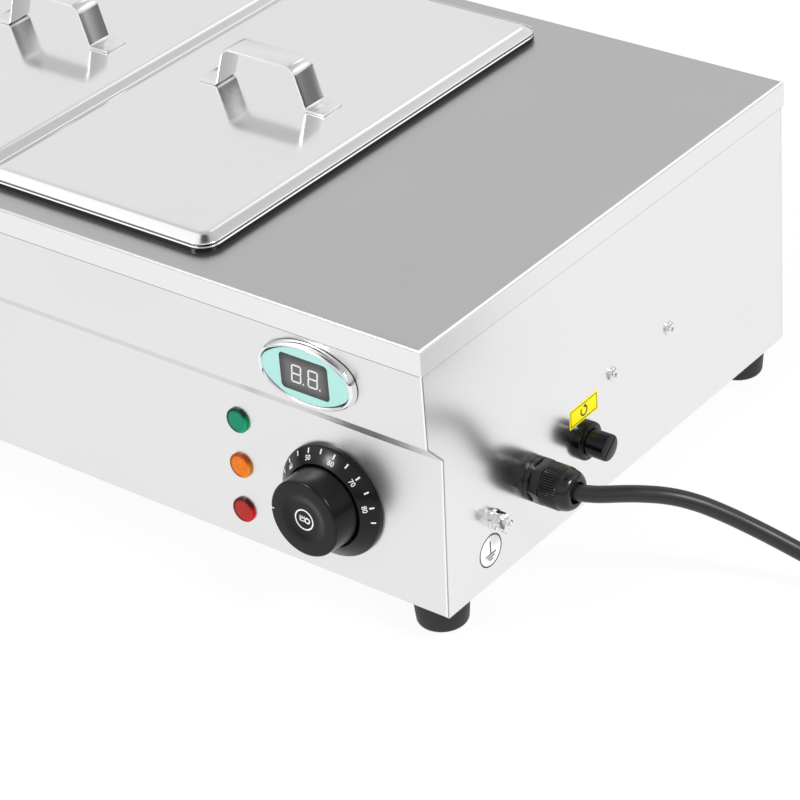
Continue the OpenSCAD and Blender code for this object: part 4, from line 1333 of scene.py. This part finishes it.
@dataclass
class Lid:
    """A pressed lid with a raised flat top and a welded strap handle, in millimetres."""

    gap: float = 1.0
    edge: float = 0.8
    edge_round: float = 0.6
    slope: float = 7.0
    rise: float = 4.0
    corner: float = 12.0
    corner_steps: int = 10
    crown: float = 2.4
    top_inset: float = 2.0
    sheet: float = 0.8
    bead_in: float = 4.1
    handle_length: float = 100.0
    handle_foot: float = 15.0
    handle_lean: float = 8.0
    handle_height: float = 26.0
    handle_width: float = 18.0
    handle_sheet: float = 1.5
    handle_round: float = 0.4
    foot_bend: float = 2.2
    grip_bend: float = 4.5

    # Profile of a spot weld
    weld = ((2.1, 0.0), (1.6, 0.14), (0.4, 0.05))

    def bead(self, width: float, length: float) -> Piece:
        """Makes the bead under the slope that rests on the pan's flange, standing on Z = 0.

        Args:
            width: Size of the lid along X in millimetres.
            length: Size of the lid along Y in millimetres.

        Returns:
            The bead with its thickness.
        """
        inset = 2 * self.bead_in
        height = self.gap + self.edge + self.rise * self.bead_in / self.slope - self.sheet / 2
        obj = plate(width - inset, length - inset, self.corner - self.bead_in, height, self.corner_steps)
        open_mesh(obj)
        for level in (0, height * MM):
            choose(obj, Pick.FACES, lambda p, z=level: abs(p.z - z) < TOUCH)
            bpy.ops.mesh.delete(type="ONLY_FACE")
        close_mesh()
        thicken(obj, self.sheet, -1)
        return obj

    def shell(self, width: float, length: float) -> Piece:
        """Presses the lid's sheet, its edge standing on Z = 0.

        Args:
            width: Size along X in millimetres.
            length: Size along Y in millimetres.

        Returns:
            The sheet with its thickness.
        """
        top = self.rise * MM - TOUCH
        obj = open_plane(width, length)
        bpy.ops.mesh.bevel(offset=self.corner * MM, segments=self.corner_steps, affect="VERTICES")
        bpy.ops.mesh.select_mode(type="FACE")
        bpy.ops.mesh.select_all(action="SELECT")
        bpy.ops.mesh.inset(thickness=self.slope * MM, depth=self.rise * MM)
        choose(obj, Pick.EDGES, lambda p: p.z > top)
        bpy.ops.mesh.bevel(offset=self.crown * MM, segments=5, affect="EDGES")
        choose(obj, Pick.EDGES, lambda p: p.z < TOUCH)
        bpy.ops.mesh.extrude_region_move(TRANSFORM_OT_translate={"value": (0, 0, -self.edge * MM)})
        choose(obj, Pick.EDGES, lambda p: abs(p.z) < TOUCH)
        bpy.ops.mesh.bevel(offset=self.edge_round * MM, segments=3, affect="EDGES")
        choose(obj, Pick.FACES, lambda p: p.z > top)
        bpy.ops.mesh.inset(thickness=self.top_inset * MM, depth=0)
        close_mesh()
        settle(obj, moved(0, 0, self.gap + self.edge))
        tidy_mesh(obj)
        thicken(obj, self.sheet, -1)
        return obj

    def strap(self) -> Piece:
        """Folds the handle from a strap.

        Returns:
            The handle along X, its feet on Z = 0.
        """
        half = self.handle_length / 2
        knee = half - self.handle_foot
        grip = knee - self.handle_lean
        top = self.handle_height
        corners = ((-half, 0), (-knee, 0), (-grip, top), (grip, top), (knee, 0), (half, 0))
        bends = (self.foot_bend, self.grip_bend, self.grip_bend, self.foot_bend)
        obj = open_bar(self.handle_width, 0, -half)
        for (y, z), (next_y, next_z) in zip(corners, corners[1:]):
            step = (0, (next_y - y) * MM, (next_z - z) * MM)
            bpy.ops.mesh.extrude_region_move(TRANSFORM_OT_translate={"value": step})
        for (y, z), bend in zip(corners[1:-1], bends):
            fold = Vector((0, y, z)) * MM
            choose(obj, Pick.EDGES, lambda p, f=fold: (p - f).yz.length < TOUCH)
            bpy.ops.mesh.bevel(offset=bend * MM, segments=6, affect="EDGES")
        bpy.ops.mesh.select_all(action="SELECT")
        bpy.ops.mesh.normals_make_consistent(inside=False)
        close_mesh()
        upside = sum(face.normal.z for face in obj.data.polygons)
        thicken(obj, self.handle_sheet, 1 if upside > 0 else -1)
        soften(obj, self.handle_round, angle=40)
        return settle(obj, spun(-90))

    def welds(self) -> list[Piece]:
        """Makes the small spot welds on the handle's feet.

        Returns:
            The four welds.
        """
        x = (self.handle_length - self.handle_foot) / 2
        y = self.handle_width / 4
        places = [moved(side * x, across * y, self.handle_sheet) for side in (-1, 1) for across in (-1, 1)]
        return [settle(turned(self.weld, 24), place) for place in places]

    def build(self) -> None:
        """Makes one lid and a copy of it for each pan."""
        low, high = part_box("lid_right")
        width, length = (high.x - low.x) / MM, (high.y - low.y) / MM
        shell = self.shell(width, length)
        handle = [self.strap(), *self.welds()]
        for part in handle:
            settle(part, moved(0, 0, self.gap + self.edge + self.rise))
        model = joined([shell, self.bead(width, length), *handle])
        for side in SIDES:
            node = f"lid_{side}"
            centre = middle(node)
            lid = copied(model, Matrix.Translation((centre.x, centre.y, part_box(node)[0].z)))
            dress(lid, f"{node}_pressing", NODE_FINISH[node], "drawn_steel", node, (node,), 28)
        bpy.data.objects.remove(model)


# Display


@dataclass
class Display:
    """Oval chrome bezel with the figures behind its window, in millimetres."""

    end_radius: float = 15.5
    ring: float = 2.8
    crest_out: float = 0.9
    height: float = 5.4
    lip: Pair = (0.3, 0.5)
    inner_height: float = 4.2
    points: int = 128
    section_steps: int = 9
    figure_width: float = 7.4
    figure_height: float = 12.0
    figure_pitch: float = 11.8
    stroke: float = 1.1
    stroke_gap: float = 0.16
    stroke_point: float = 0.45
    dot_right: float = 1.8
    dot_corner: float = 0.4
    slant: float = 0.10
    figure_right: float = 0.3
    ink: float = 0.06

    def oval(self, a: float, b: float) -> list[Pair]:
        """Draws an oval of four arcs.

        Args:
            a: Half its width in millimetres.
            b: Half its height in millimetres.

        Returns:
            Its points, anticlockwise from +X.
        """
        end = self.end_radius
        side = (a * a + b * b - 2 * a * end) / (2 * (b - end))
        meet = math.atan2(side - b, a - end)
        quarter = []
        steps = self.points // 4
        for i in range(steps):
            angle = math.pi / 2 * i / steps
            if angle < meet:
                quarter.append((a - end + end * math.cos(angle), end * math.sin(angle)))
            else:
                quarter.append((side * math.cos(angle), b - side + side * math.sin(angle)))
        back = [(0.0, b), *reversed(quarter[1:])]
        upper = [*quarter, *((-x, y) for x, y in back)]
        return [*upper, *((-x, -y) for x, y in quarter[1:]), *((x, -y) for x, y in back)]

    def bezel(self) -> None:
        """Makes the bezel by insetting the oval along its rounded section."""
        low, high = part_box("display_bezel")
        outline = self.oval((high.x - low.x) / 2 / MM, (high.z - low.z) / 2 / MM)
        deselect_all()
        bpy.ops.mesh.primitive_circle_add(vertices=len(outline), radius=1, fill_type="NGON")
        obj = bpy.context.active_object
        for point, (x, y) in zip(obj.data.vertices, outline):
            point.co = (x * MM, y * MM, 0)
        open_mesh(obj)
        bpy.ops.mesh.normals_make_consistent(inside=False)
        mesh = bmesh.from_edit_mesh(obj.data)
        mesh.faces.ensure_lookup_table()
        if mesh.faces[0].normal.z < 0:
            bpy.ops.mesh.flip_normals()
        crest = self.ring - self.crest_out
        section = rounding((crest, 0), (-crest, self.height), self.section_steps, 1)
        section += [(self.ring - self.lip[0], self.height - self.lip[1]), (self.ring, self.inner_height)]
        done = (0.0, 0.0)
        for inward, up in section:
            bpy.ops.mesh.inset(thickness=(inward - done[0]) * MM, depth=(up - done[1]) * MM)
            done = (inward, up)
        bpy.ops.mesh.delete(type="FACE")
        close_mesh()
        mount(
            obj, on_band("display_bezel"), "display_oval", BEZEL_CHROME, "chrome",
            stands_for=("display_bezel",), smooth=60)

    def segment(self, x: float, y: float, length: float, upright: bool) -> Piece:
        """Makes one pointed bar of a figure.

        Args:
            x: Its middle to the right in millimetres.
            y: Its middle upwards in millimetres.
            length: Its length in millimetres.
            upright: Whether it stands upright.

        Returns:
            The bar.
        """
        bar = plate(length - self.stroke_gap, self.stroke, self.stroke * self.stroke_point, self.ink, 1)
        return settle(bar, moved(x, y) @ spun(90 if upright else 0))

    def figures(self) -> None:
        """Makes the unlit figures on the window's face."""
        low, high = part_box("display_window")
        proud = (high.y - low.y) / MM
        across = self.figure_width - self.stroke
        up = (self.figure_height - self.stroke) / 2
        bars = []
        for spot in (-0.5, 0.5):
            x = self.figure_right + spot * self.figure_pitch
            bars += [self.segment(x, y, across, False) for y in (-up, 0, up)]
            for side in (-across / 2, across / 2):
                bars += [self.segment(x + side, y, up, True) for y in (-up / 2, up / 2)]
            dot = plate(self.stroke, self.stroke, self.dot_corner, self.ink, 4)
            bars.append(settle(dot, moved(x + across / 2 + self.dot_right, -up)))
        lean = Matrix.Identity(4)
        lean[0][1] = self.slant
        place = on_band("display_window") @ moved(0, 0, proud) @ lean
        mount(joined(bars), place, "display_figures", SEGMENT, "dark_window")

    def build(self) -> None:
        """Makes the bezel and the figures."""
        self.bezel()
        self.figures()


# Signal lamps


@dataclass
class SignalLamps:
    """Three round lenses with a rounded rim and a fine line round their face, in millimetres."""

    grow: float = 0.4
    foot: float = 0.4
    height: float = 2.0
    shoulder: float = 0.9
    line_in: float = 1.9
    face_share: float = 0.4

    # Section of the fine line, as steps inwards from its middle and down from the face
    line = ((-0.35, 0.0), (0.0, 0.12), (0.35, 0.05))

    def build(self) -> None:
        """Makes each lens on its place on the control panel."""
        bend = self.shoulder
        for colour, finish in (("green", GREEN_LENS), ("orange", ORANGE_LENS), ("red", RED_LENS)):
            node = f"lamp_{colour}"
            low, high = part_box(node)
            radius = (high.x - low.x) / 2 / MM + self.grow
            profile = [
                (radius, 0.0),
                (radius, self.foot),
                *rounding((radius - bend, self.height - bend), (bend, bend), 6),
                *stepped(radius - self.line_in, self.height, self.line),
                (radius * self.face_share, self.height),
                (POLE, self.height),
            ]
            mount(
                turned(profile, 72), on_panel(node), f"{node}_lens", finish, f"{colour}_lens",
                stands_for=(node,), smooth=40)


# Dial and knob


@dataclass
class Dial:
    """Fixed dial ring with its scale, and the knob that turns in it, in millimetres."""

    radius: float = 35.3
    height: float = 9.6
    chamfer: float = 0.3
    edge: float = 3.8
    edge_in: float = 0.8
    groove: float = 26.0
    lip: float = 0.5
    inner: float = 20.0
    floor: float = 2.4
    tick_radius: float = 32.8
    tick_length: float = 3.0
    tick_width: float = 0.95
    figure_radius: float = 29.3
    figure_height: float = 3.0
    bold: float = 0.05
    ink: float = 0.05
    ink_lift: float = 0.01
    first: int = 35
    last: int = 85
    top_at: float = 56.68
    degrees_each: float = 3.31
    knob_radius: float = 24.0
    skirt: float = 25.4
    skirt_edge: float = 0.25
    knob_height: float = 27.2
    knob_base: float = 3.0
    knob_hollow: float = 8.0
    knob_wall: float = 2.6
    rim: float = 1.5
    dish_radius: float = 16.5
    dish: float = 1.6
    dish_floor: float = 8.6
    dish_steps: int = 14
    sign_radius: float = 6.7
    sign_line: float = 0.85
    sign_shift: Pair = (-0.8, -1.4)
    bulb: float = 2.0
    bulb_at: float = 2.3
    tube: float = 4.4
    tube_at: float = -1.5
    tube_half: float = 0.95
    tube_line: float = 0.6
    degree: Pair = (0.5, 0.9)
    degree_from: Pair = (-2.8, 2.0)
    degree_pitch: float = 1.5
    pointer_length: float = 3.0
    pointer_width: float = 0.9
    pointer_deep: float = 1.9
    pointer_proud: float = 0.04
    pointer_edge: float = 0.25

    # Roundings of the ring's edge and lip, as steps inwards and down
    edge_round = ((0.0, 1.52), (0.12, 0.988), (0.4, 0.456))
    lip_round = ((-0.5, 0.1), (-0.15, 0.15), (0.0, 0.4))

    def cone(self, radius: float) -> float:
        """Returns the height of the scale's cone at a radius."""
        down = (radius - self.groove - self.lip) / (self.radius - self.edge_in - self.groove - self.lip)
        return self.height - down * (self.height - self.edge)

    def ring(self) -> None:
        """Turns the dial ring with its edge, its cone and its groove for the knob."""
        r = self.radius
        cone_end = self.groove + 2 * self.lip
        profile = [
            (self.inner, 0),
            (r - self.chamfer, 0),
            (r, self.chamfer),
            *stepped(r, self.edge, self.edge_round),
            (r - self.edge_in, self.edge),
            (cone_end, self.cone(cone_end)),
            *stepped(self.groove, self.height, self.lip_round),
            (self.groove, self.floor),
            (self.inner, self.floor),
        ]
        mount(
            turned(profile, 128, ring=True), on_panel("dial_ring"), "dial_ring_turned", SATIN_BLACK,
            "black_plastic", stands_for=("dial_ring",), smooth=28)

    def mark(self, obj: Piece, degrees: float, radius: float) -> Piece:
        """Lays a mark on the cone.

        Args:
            obj: The mark.
            degrees: Its angle clockwise from the top.
            radius: Its radius in millimetres.

        Returns:
            The mark.
        """
        fall = math.atan2(self.cone(radius - 1) - self.cone(radius), 1)
        tilt = Matrix.Rotation(-fall, 4, "X")
        return settle(obj, spun(-degrees) @ moved(0, radius, self.cone(radius) + self.ink_lift) @ tilt)

    def scale(self) -> None:
        """Prints the ticks and plain numbers on the dial ring."""
        marks = []
        for value in range(self.first, self.last + 1, 5):
            degrees = (value - self.top_at) * self.degrees_each
            tick = plate(self.tick_width, self.tick_length, 0, self.ink)
            marks.append(self.mark(tick, degrees, self.tick_radius))
            if value % 10 == 0:
                number = figure(str(value), self.figure_height, self.ink, self.bold)
                marks.append(self.mark(number, degrees, self.figure_radius))
        obj = settle(joined(marks), on_panel("dial_ring"))
        dress(obj, "dial_scale", PRINT_WHITE, "white_plastic")

    def knob(self) -> None:
        """Turns the knob with its tapered skirt, its rounded rim and its dish, hollow behind."""
        r, h, base = self.knob_radius, self.knob_height, self.knob_base
        inside = r - self.knob_wall
        profile = [
            (inside, base + self.knob_hollow),
            (inside, base),
            (self.skirt - self.skirt_edge, base),
            (self.skirt, base + self.skirt_edge),
            *rounding((r - self.rim, h - self.rim), (self.rim, self.rim), 7),
        ]
        for i in range(self.dish_steps + 1):
            share = i / self.dish_steps
            down = self.dish * (1 - math.cos(math.pi * share)) / 2
            profile.append((self.dish_radius + (self.dish_floor - self.dish_radius) * share, h - down))
        profile.append((POLE, h - self.dish))
        mount(
            turned(profile, 128), on_panel("knob"), "knob_turned", SATIN_BLACK, "black_plastic", "knob",
            ("knob",), 32)

    def thermometer(self) -> list[Piece]:
        """Draws a plain thermometer sign in a ring, its bulb to the right.

        Returns:
            The sign's parts.
        """
        ink, line = self.ink, self.tube_line
        end = arc_strip(self.tube_half, line, 90, 180, ink)
        parts = [
            flat_ring(self.sign_radius, self.sign_line, ink),
            settle(flat_ring(self.bulb, self.sign_line, ink), moved(self.bulb_at, 0)),
            settle(end, moved(self.tube_at - self.tube / 2, 0)),
        ]
        for side in (-1, 1):
            wall = plate(self.tube, line, 0, ink)
            parts.append(settle(wall, moved(self.tube_at, side * self.tube_half)))
        x, y = self.degree_from
        for i in range(3):
            parts.append(settle(plate(*self.degree, 0, ink), moved(x + self.degree_pitch * i, y)))
        return parts

    def knob_marks(self) -> None:
        """Inlays the pointer line at the rim and prints the sign in the dish."""
        proud = self.pointer_proud
        pointer = plate(self.pointer_length, self.pointer_width, 0, self.pointer_deep)
        soften(pointer, self.pointer_edge, 2)
        out = self.knob_radius - self.pointer_length / 2 + proud
        settle(pointer, moved(-out, 0, self.knob_height + proud - self.pointer_deep))
        sign = self.thermometer()
        for part in sign:
            settle(part, moved(*self.sign_shift, self.knob_height - self.dish))
        obj = joined([pointer, *sign])
        mount(obj, on_panel("knob"), "knob_marks", PRINT_WHITE, "white_plastic", "knob")

    def build(self) -> None:
        """Makes ring, scale, knob and its marks."""
        self.ring()
        self.scale()
        self.knob()
        self.knob_marks()


# Right side


@dataclass
class Gland:
    """Cable gland: flange, hexagon, fluted nut and glossy dome, in millimetres."""

    flats: float = 24.0
    flange: float = 27.0
    flange_height: float = 3.0
    flange_bore: float = 9.0
    foot_edge: float = 0.4
    edge: float = 0.5
    base: float = 9.8
    nut_from: float = 10.2
    nut_radius: float = 13.0
    dome_from: float = 21.8
    reach: float = 29.2
    nose: float = 8.2
    mouth: float = 6.6
    mouth_edge: Pair = (0.3, 0.4)
    flutes: int = 56
    flute_depth: float = 0.28
    flutes_from: float = 0.9
    thread: float = 9.9
    neck_reach: float = 2.0
    sink: float = 0.1

    # Shoulder from the flutes to the dome, as steps inwards and down
    shoulder = ((0.0, 1.0), (0.2, 0.2), (0.6, 0.0))

    def body(self) -> None:
        """Makes the base with its flange, hexagon and neck."""
        r, h = self.flange / 2, self.flange_height
        foot, edge = self.foot_edge, self.edge
        flange = turned((
            (self.flange_bore, 0), (r - foot, 0), (r, foot), (r, h - edge), (r - edge, h),
            (self.flange_bore, h)), 72)
        nut = settle(hexagon(self.flats, h - self.sink, self.base, edge), spun(30))
        neck = turned(
            ((self.thread, self.base - 2 * self.sink), (self.thread, self.nut_from + self.neck_reach)), 64)
        mount(
            joined([flange, nut, neck]), beside("gland_body"), "gland_base", GLAND_BLACK, "gland_plastic",
            stands_for=("gland_body",), smooth=30)

    def nut(self) -> None:
        """Makes the fluted nut, its dome and the mouth round the cord."""
        r = self.nut_radius + self.flute_depth
        sides = self.flutes * 4
        start, dome = self.nut_from, self.dome_from
        inward, down = self.mouth_edge
        profile = [
            (self.thread, start),
            (r - self.edge, start),
            (r, start + self.edge),
            (r, start + self.flutes_from),
            *stepped(r, dome, self.shoulder),
            *rounding((self.nose, dome), (r - self.shoulder[-1][0] - self.nose, self.reach - dome), 10, 1),
            (self.mouth + inward, self.reach),
            (self.mouth, self.reach - down),
            (self.mouth, dome),
            (self.thread, dome - 1),
        ]
        obj = turned(profile, sides, ring=True)
        near = self.sink
        low, high = (start + self.flutes_from - near) * MM, (dome - self.shoulder[0][1] + near) * MM
        wall = (r - near) * MM

        def in_groove(p: Vector) -> bool:
            """Tells whether a point lies in the bottom of a flute."""
            count = round(math.atan2(p.y, p.x) / (2 * math.pi) * sides)
            return count % 4 == 2 and low < p.z < high and math.hypot(p.x, p.y) > wall

        open_mesh(obj)
        choose(obj, Pick.POINTS, in_groove)
        ratio = 1 - 2 * self.flute_depth / r
        bpy.ops.transform.resize(value=(ratio, ratio, 1), center_override=(0, 0, 0))
        close_mesh()
        mount(
            obj, beside("gland_nut"), "gland_dome", GLAND_BLACK, "gland_plastic", stands_for=("gland_nut",),
            smooth=24)

    def build(self) -> None:
        """Makes base and nut."""
        self.body()
        self.nut()


@dataclass
class ResetFitting:
    """Collar and screw cap over the reset button, in millimetres."""

    collar_radius: float = 12.0
    collar_height: float = 4.8
    collar_foot: float = 0.2
    ring_height: float = 5.6
    ring_out: float = 1.2
    collar_bore: float = 4.86
    cap_radius: float = 8.3
    cap_from: float = 5.7
    cap_foot: float = 0.25
    reach: float = 18.2
    bore: float = 5.1
    bore_end: float = 15.4
    slot_width: float = 1.1
    slot_length: float = 14.2
    slot_depth: float = 1.6
    slot_turn: float = 39.0

    # Roundings, as steps inwards and down
    collar_round = ((0.0, 1.1), (0.3, 0.4), (1.0, 0.0))
    ring_fillet = ((-0.3, 0.0), (0.0, -0.25))
    ring_round = ((0.0, 0.3), (0.3, 0.0))
    cap_round = ((0.0, 0.6), (0.18, 0.2), (0.6, 0.0))

    def collar(self) -> None:
        """Turns the collar with its inner ring."""
        r, h, top, foot = self.collar_radius, self.collar_height, self.ring_height, self.collar_foot
        step = self.cap_radius + self.ring_out
        profile = [
            (self.collar_bore, 0),
            (r - foot, 0),
            (r, foot),
            *stepped(r, h, self.collar_round),
            *stepped(step, h, self.ring_fillet),
            *stepped(step, top, self.ring_round),
            (self.collar_bore, top),
        ]
        mount(
            turned(profile, 96, ring=True), beside("reset_collar"), "reset_collar_turned", GLOSS_BLACK,
            "black_plastic", stands_for=("reset_collar",), smooth=30)

    def cap(self) -> None:
        """Turns the hollow cap and cuts its slot."""
        r, start, foot = self.cap_radius, self.cap_from, self.cap_foot
        profile = [
            (POLE, self.bore_end),
            (self.bore, self.bore_end),
            (self.bore, start),
            (r - foot, start),
            (r, start + foot),
            *stepped(r, self.reach, self.cap_round),
            (POLE, self.reach),
        ]
        obj = turned(profile, 96)
        tool = plate(self.slot_length, self.slot_width, 0, 2 * self.slot_depth)
        cut(obj, settle(tool, spun(self.slot_turn) @ moved(0, 0, self.reach - self.slot_depth)))
        mount(
            obj, beside("reset_cap"), "reset_cap_turned", GLOSS_BLACK, "black_plastic", "reset_cap",
            ("reset_cap",), 30)

    def build(self) -> None:
        """Makes collar and cap."""
        self.collar()
        self.cap()


@dataclass
class EarthPoint:
    """Threaded earth stud with its two nuts and washers, in millimetres."""

    radius: float = 3.0
    inside: float = 4.0
    neck_in: float = 0.4
    reach: float = 12.0
    pitch: float = 1.0
    thread_from: float = 0.2
    thread_deep: float = 0.5
    thread_end: float = 1.2
    washer_widths: Pair = (12.4, 10.2)
    washer_thick: float = 1.2
    washer_edge: float = 0.2
    flats: float = 10.0
    nut_height: float = 4.2
    nut_edge: float = 0.35
    nut_turns: Pair = (12.0, 35.0)
    bore_loose: float = 0.02

    # Roundings of the stud's tip and a washer's rim, as steps inwards and down
    tip = ((0.5, 0.9), (0.6, 0.5), (1.1, 0.0))
    washer_round = ((0.0, 0.3), (0.3, 0.0))

    def stud(self) -> Piece:
        """Turns the stud with its thread, drawn as plain grooves.

        Returns:
            The stud.
        """
        r = self.radius
        profile = [(r - self.neck_in, -self.inside), (r - self.neck_in, 0.0)]
        height = self.thread_from
        while height < self.reach - self.thread_end:
            profile += [(r - self.thread_deep, height), (r, height + self.pitch / 2)]
            height += self.pitch
        return turned([*profile, *stepped(r, self.reach, self.tip), (POLE, self.reach)], 48)

    def nut(self, low: float, turn: float) -> Piece:
        """Makes a nut.

        Args:
            low: The height of its foot in millimetres.
            turn: Its angle in degrees.

        Returns:
            The nut.
        """
        high = low + self.nut_height
        nut = hexagon(self.flats, low, high, self.nut_edge)
        bore = self.radius + self.bore_loose
        cut(nut, turned(((bore, low - 1), (bore, high + 1)), 40))
        return settle(nut, spun(turn))

    def washer(self, low: float, width: float) -> Piece:
        """Makes a washer.

        Args:
            low: The height of its foot in millimetres.
            width: Its outer width in millimetres.

        Returns:
            The washer.
        """
        edge = self.washer_edge
        inner, outer, high = self.radius + edge, width / 2, low + self.washer_thick
        rim = stepped(outer, high, self.washer_round)
        return turned(
            [(inner, low), (outer - edge, low), (outer, low + edge), *rim, (inner, high)], 64, ring=True)

    def build(self) -> None:
        """Makes stud, nuts and washers on their place."""
        place = beside("earth_washers")
        stud = self.stud()
        levels = (0.0, self.washer_thick + self.nut_height)
        nuts = [self.nut(low + self.washer_thick, turn) for low, turn in zip(levels, self.nut_turns)]
        washers = [self.washer(low, width) for low, width in zip(levels, self.washer_widths)]
        for obj, name, node, smooth in (
            (stud, "earth_stud_threaded", "earth_stud", 25),
            (joined(nuts), "earth_hexagon_nuts", "earth_nuts", 25),
            (joined(washers), "earth_plain_washers", "earth_washers", 30),
        ):
            mount(obj, place, name, BRIGHT_NUT, "zinc_steel", stands_for=(node,), smooth=smooth)


@dataclass
class SideScrews:
    """Two pan-head screws with a cross recess, in millimetres."""

    head: float = 8.8
    height: float = 2.6
    edge: Pair = (0.2, 0.25)
    rim: float = 0.9
    round_steps: int = 6
    thread: float = 2.0
    inside: float = 12.0
    recess: float = 3.6
    recess_depth: float = 1.3
    recess_turn: float = 20.0
    blade: float = 0.9

    def screw(self) -> Piece:
        """Turns a screw and cuts its recess.

        Returns:
            The screw, its head standing on Z = 0.
        """
        r, rim = self.head / 2, self.rim
        inward, up = self.edge
        profile = [(self.thread, -self.inside), (self.thread, 0), (r - inward, 0), (r, up), (r, rim)]
        for i in range(1, self.round_steps + 1):
            angle = math.pi / 2 * i / self.round_steps
            rise = math.sin(angle)
            profile.append((r * math.cos(angle) + POLE * rise, rim + (self.height - rim) * rise))
        screw = turned(profile, 56)
        for turn in (self.recess_turn, self.recess_turn + 90):
            tool = plate(self.recess, self.blade, 0, 2 * self.height)
            cut(screw, settle(tool, spun(turn) @ moved(0, 0, self.height - self.recess_depth)))
        return screw

    def build(self) -> None:
        """Makes the screws where the CAD solids are."""
        low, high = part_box("bracket_screws")
        inset = self.head / 2 * MM
        level = middle("bracket_screws").z
        screws = [settle(self.screw(), on_side(y, level)) for y in (low.y + inset, high.y - inset)]
        mount(
            joined(screws), UNMOVED, "side_pan_screws", BRIGHT_NUT, "zinc_steel",
            stands_for=("bracket_screws",), smooth=30)


@dataclass
class Labels:
    """Two plain stickers on the right side panel, in millimetres from the top plate's front right corner."""

    reset_in: float = 145.8
    reset_down: float = 117.2
    reset_size: Pair = (28.6, 12.6)
    reset_corner: float = 0.4
    reset_inset: float = 1.0
    reset_line: float = 0.5
    arrow_radius: float = 3.0
    arrow_line: float = 1.0
    arrow_start: float = 60.0
    arrow_sweep: float = 285.0
    arrow_head: float = 1.6
    arrow_reach: float = 0.5
    earth_in: float = 50.1
    earth_down: float = 159.3
    earth_radius: float = 10.9
    earth_margin: float = 0.35
    earth_line: float = 0.95
    earth_stem: Pair = (6.4, -2.5)
    earth_bars: Triple = (9.8, 6.8, 3.8)
    earth_step: float = 1.75
    film: float = 0.12
    ink: float = 0.05

    def place(self, back: float, down: float) -> Matrix:
        """Returns a place on the side panel, measured from the top plate's front and top."""
        low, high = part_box("top_plate")
        return on_side(low.y + back * MM, high.z - down * MM)

    def line(self, width: float, height: float, x: float, y: float) -> Piece:
        """Returns a straight printed line from its size and its middle in millimetres."""
        return settle(plate(width, height, 0, self.ink), moved(x, y))

    def stick(
        self, name: str, place: Matrix, base: Piece, finish: Finish, slot: str, marks: list[Piece]
    ) -> None:
        """Sticks a label to the side panel, with its print on it.

        Args:
            name: The label's name.
            place: Its place.
            base: Its film.
            finish: The film's finish.
            slot: The film's material slot.
            marks: Its printed marks.
        """
        dress(settle(base, place), name, finish, slot)
        mount(joined(marks), place @ moved(0, 0, self.film), f"{name}_print", PRINT_DARK, "black_plastic")

    def reset(self) -> None:
        """Makes the yellow plate over the reset cap with a thin frame and a round arrow."""
        line, radius, start = self.reset_line, self.arrow_radius, self.arrow_start
        width, height = self.reset_size
        base = plate(width, height, self.reset_corner, self.film)
        w, h = width - 2 * self.reset_inset, height - 2 * self.reset_inset
        marks = []
        for side in (-1, 1):
            marks.append(self.line(w, line, 0, side * (h - line) / 2))
            marks.append(self.line(line, h, side * (w - line) / 2, 0))
        marks.append(arc_strip(radius, self.arrow_line, start, self.arrow_sweep, self.ink))
        head = turned(((self.arrow_head, 0), (self.arrow_head, self.ink)), 3)
        marks.append(settle(head, spun(start) @ moved(radius, self.arrow_reach) @ spun(-90)))
        place = self.place(self.reset_in, self.reset_down)
        self.stick("reset_label", place, base, YELLOW, "mint_plastic", marks)

    def earth(self) -> None:
        """Makes the round sticker with a plain earth sign in a thin ring."""
        r, line = self.earth_radius, self.earth_line
        base = turned(((r, 0), (r, self.film)), 72)
        top, foot = self.earth_stem
        marks = [
            flat_ring(r - self.earth_margin, line, self.ink, 72),
            self.line(line, top - foot, 0, (top + foot) / 2),
        ]
        for i, length in enumerate(self.earth_bars):
            marks.append(self.line(length, line, 0, foot - self.earth_step * i))
        place = self.place(self.earth_in, self.earth_down)
        self.stick("earth_label", place, base, STICKER, "white_plastic", marks)

    def build(self) -> None:
        """Makes both stickers."""
        self.reset()
        self.earth()


# Feet


@dataclass
class Feet:
    """Four rubber feet with a rounded tread, in millimetres."""

    radius: float = 17.0
    height: float = 20.0
    taper: float = 1.5
    tread: float = 3.0
    well: float = 6.0
    well_height: float = 9.0

    # Rounding of the top edge, as steps inwards and down
    top = ((0.1, 0.8), (0.3, 0.25), (0.8, 0.0))

    def build(self) -> None:
        """Turns one foot and copies it under each corner."""
        tread = self.tread
        flat = self.radius - self.taper - tread
        profile = [
            (POLE, self.well_height),
            (self.well, self.well_height),
            (self.well, 0),
            (flat, 0),
            *rounding((flat, tread), (tread, tread), 8, 1, -90),
            *stepped(self.radius, self.height, self.top),
            (POLE, self.height),
        ]
        model = turned(profile, 72)
        for corner in ("front_left", "front_right", "back_left", "back_right"):
            node = f"foot_{corner}"
            centre = middle(node)
            foot = copied(model, Matrix.Translation((centre.x, centre.y, 0)))
            dress(foot, f"{node}_rubber", FOOT_RUBBER, "black_rubber", stands_for=(node,))
        bpy.data.objects.remove(model)


def main() -> None:
    """Builds the studio, the cord and each sub-assembly in turn."""
    logging.basicConfig(level=logging.INFO, format="%(name)s: %(message)s")
    Studio().build()
    Cord().build()
    dress_cad_nodes()
    for assembly in (
        Lid, Display, SignalLamps, Dial, Gland, ResetFitting, EarthPoint, SideScrews, Labels, Feet
    ):
        assembly().build()
    deselect_all()


if __name__ == "__main__":
    main()
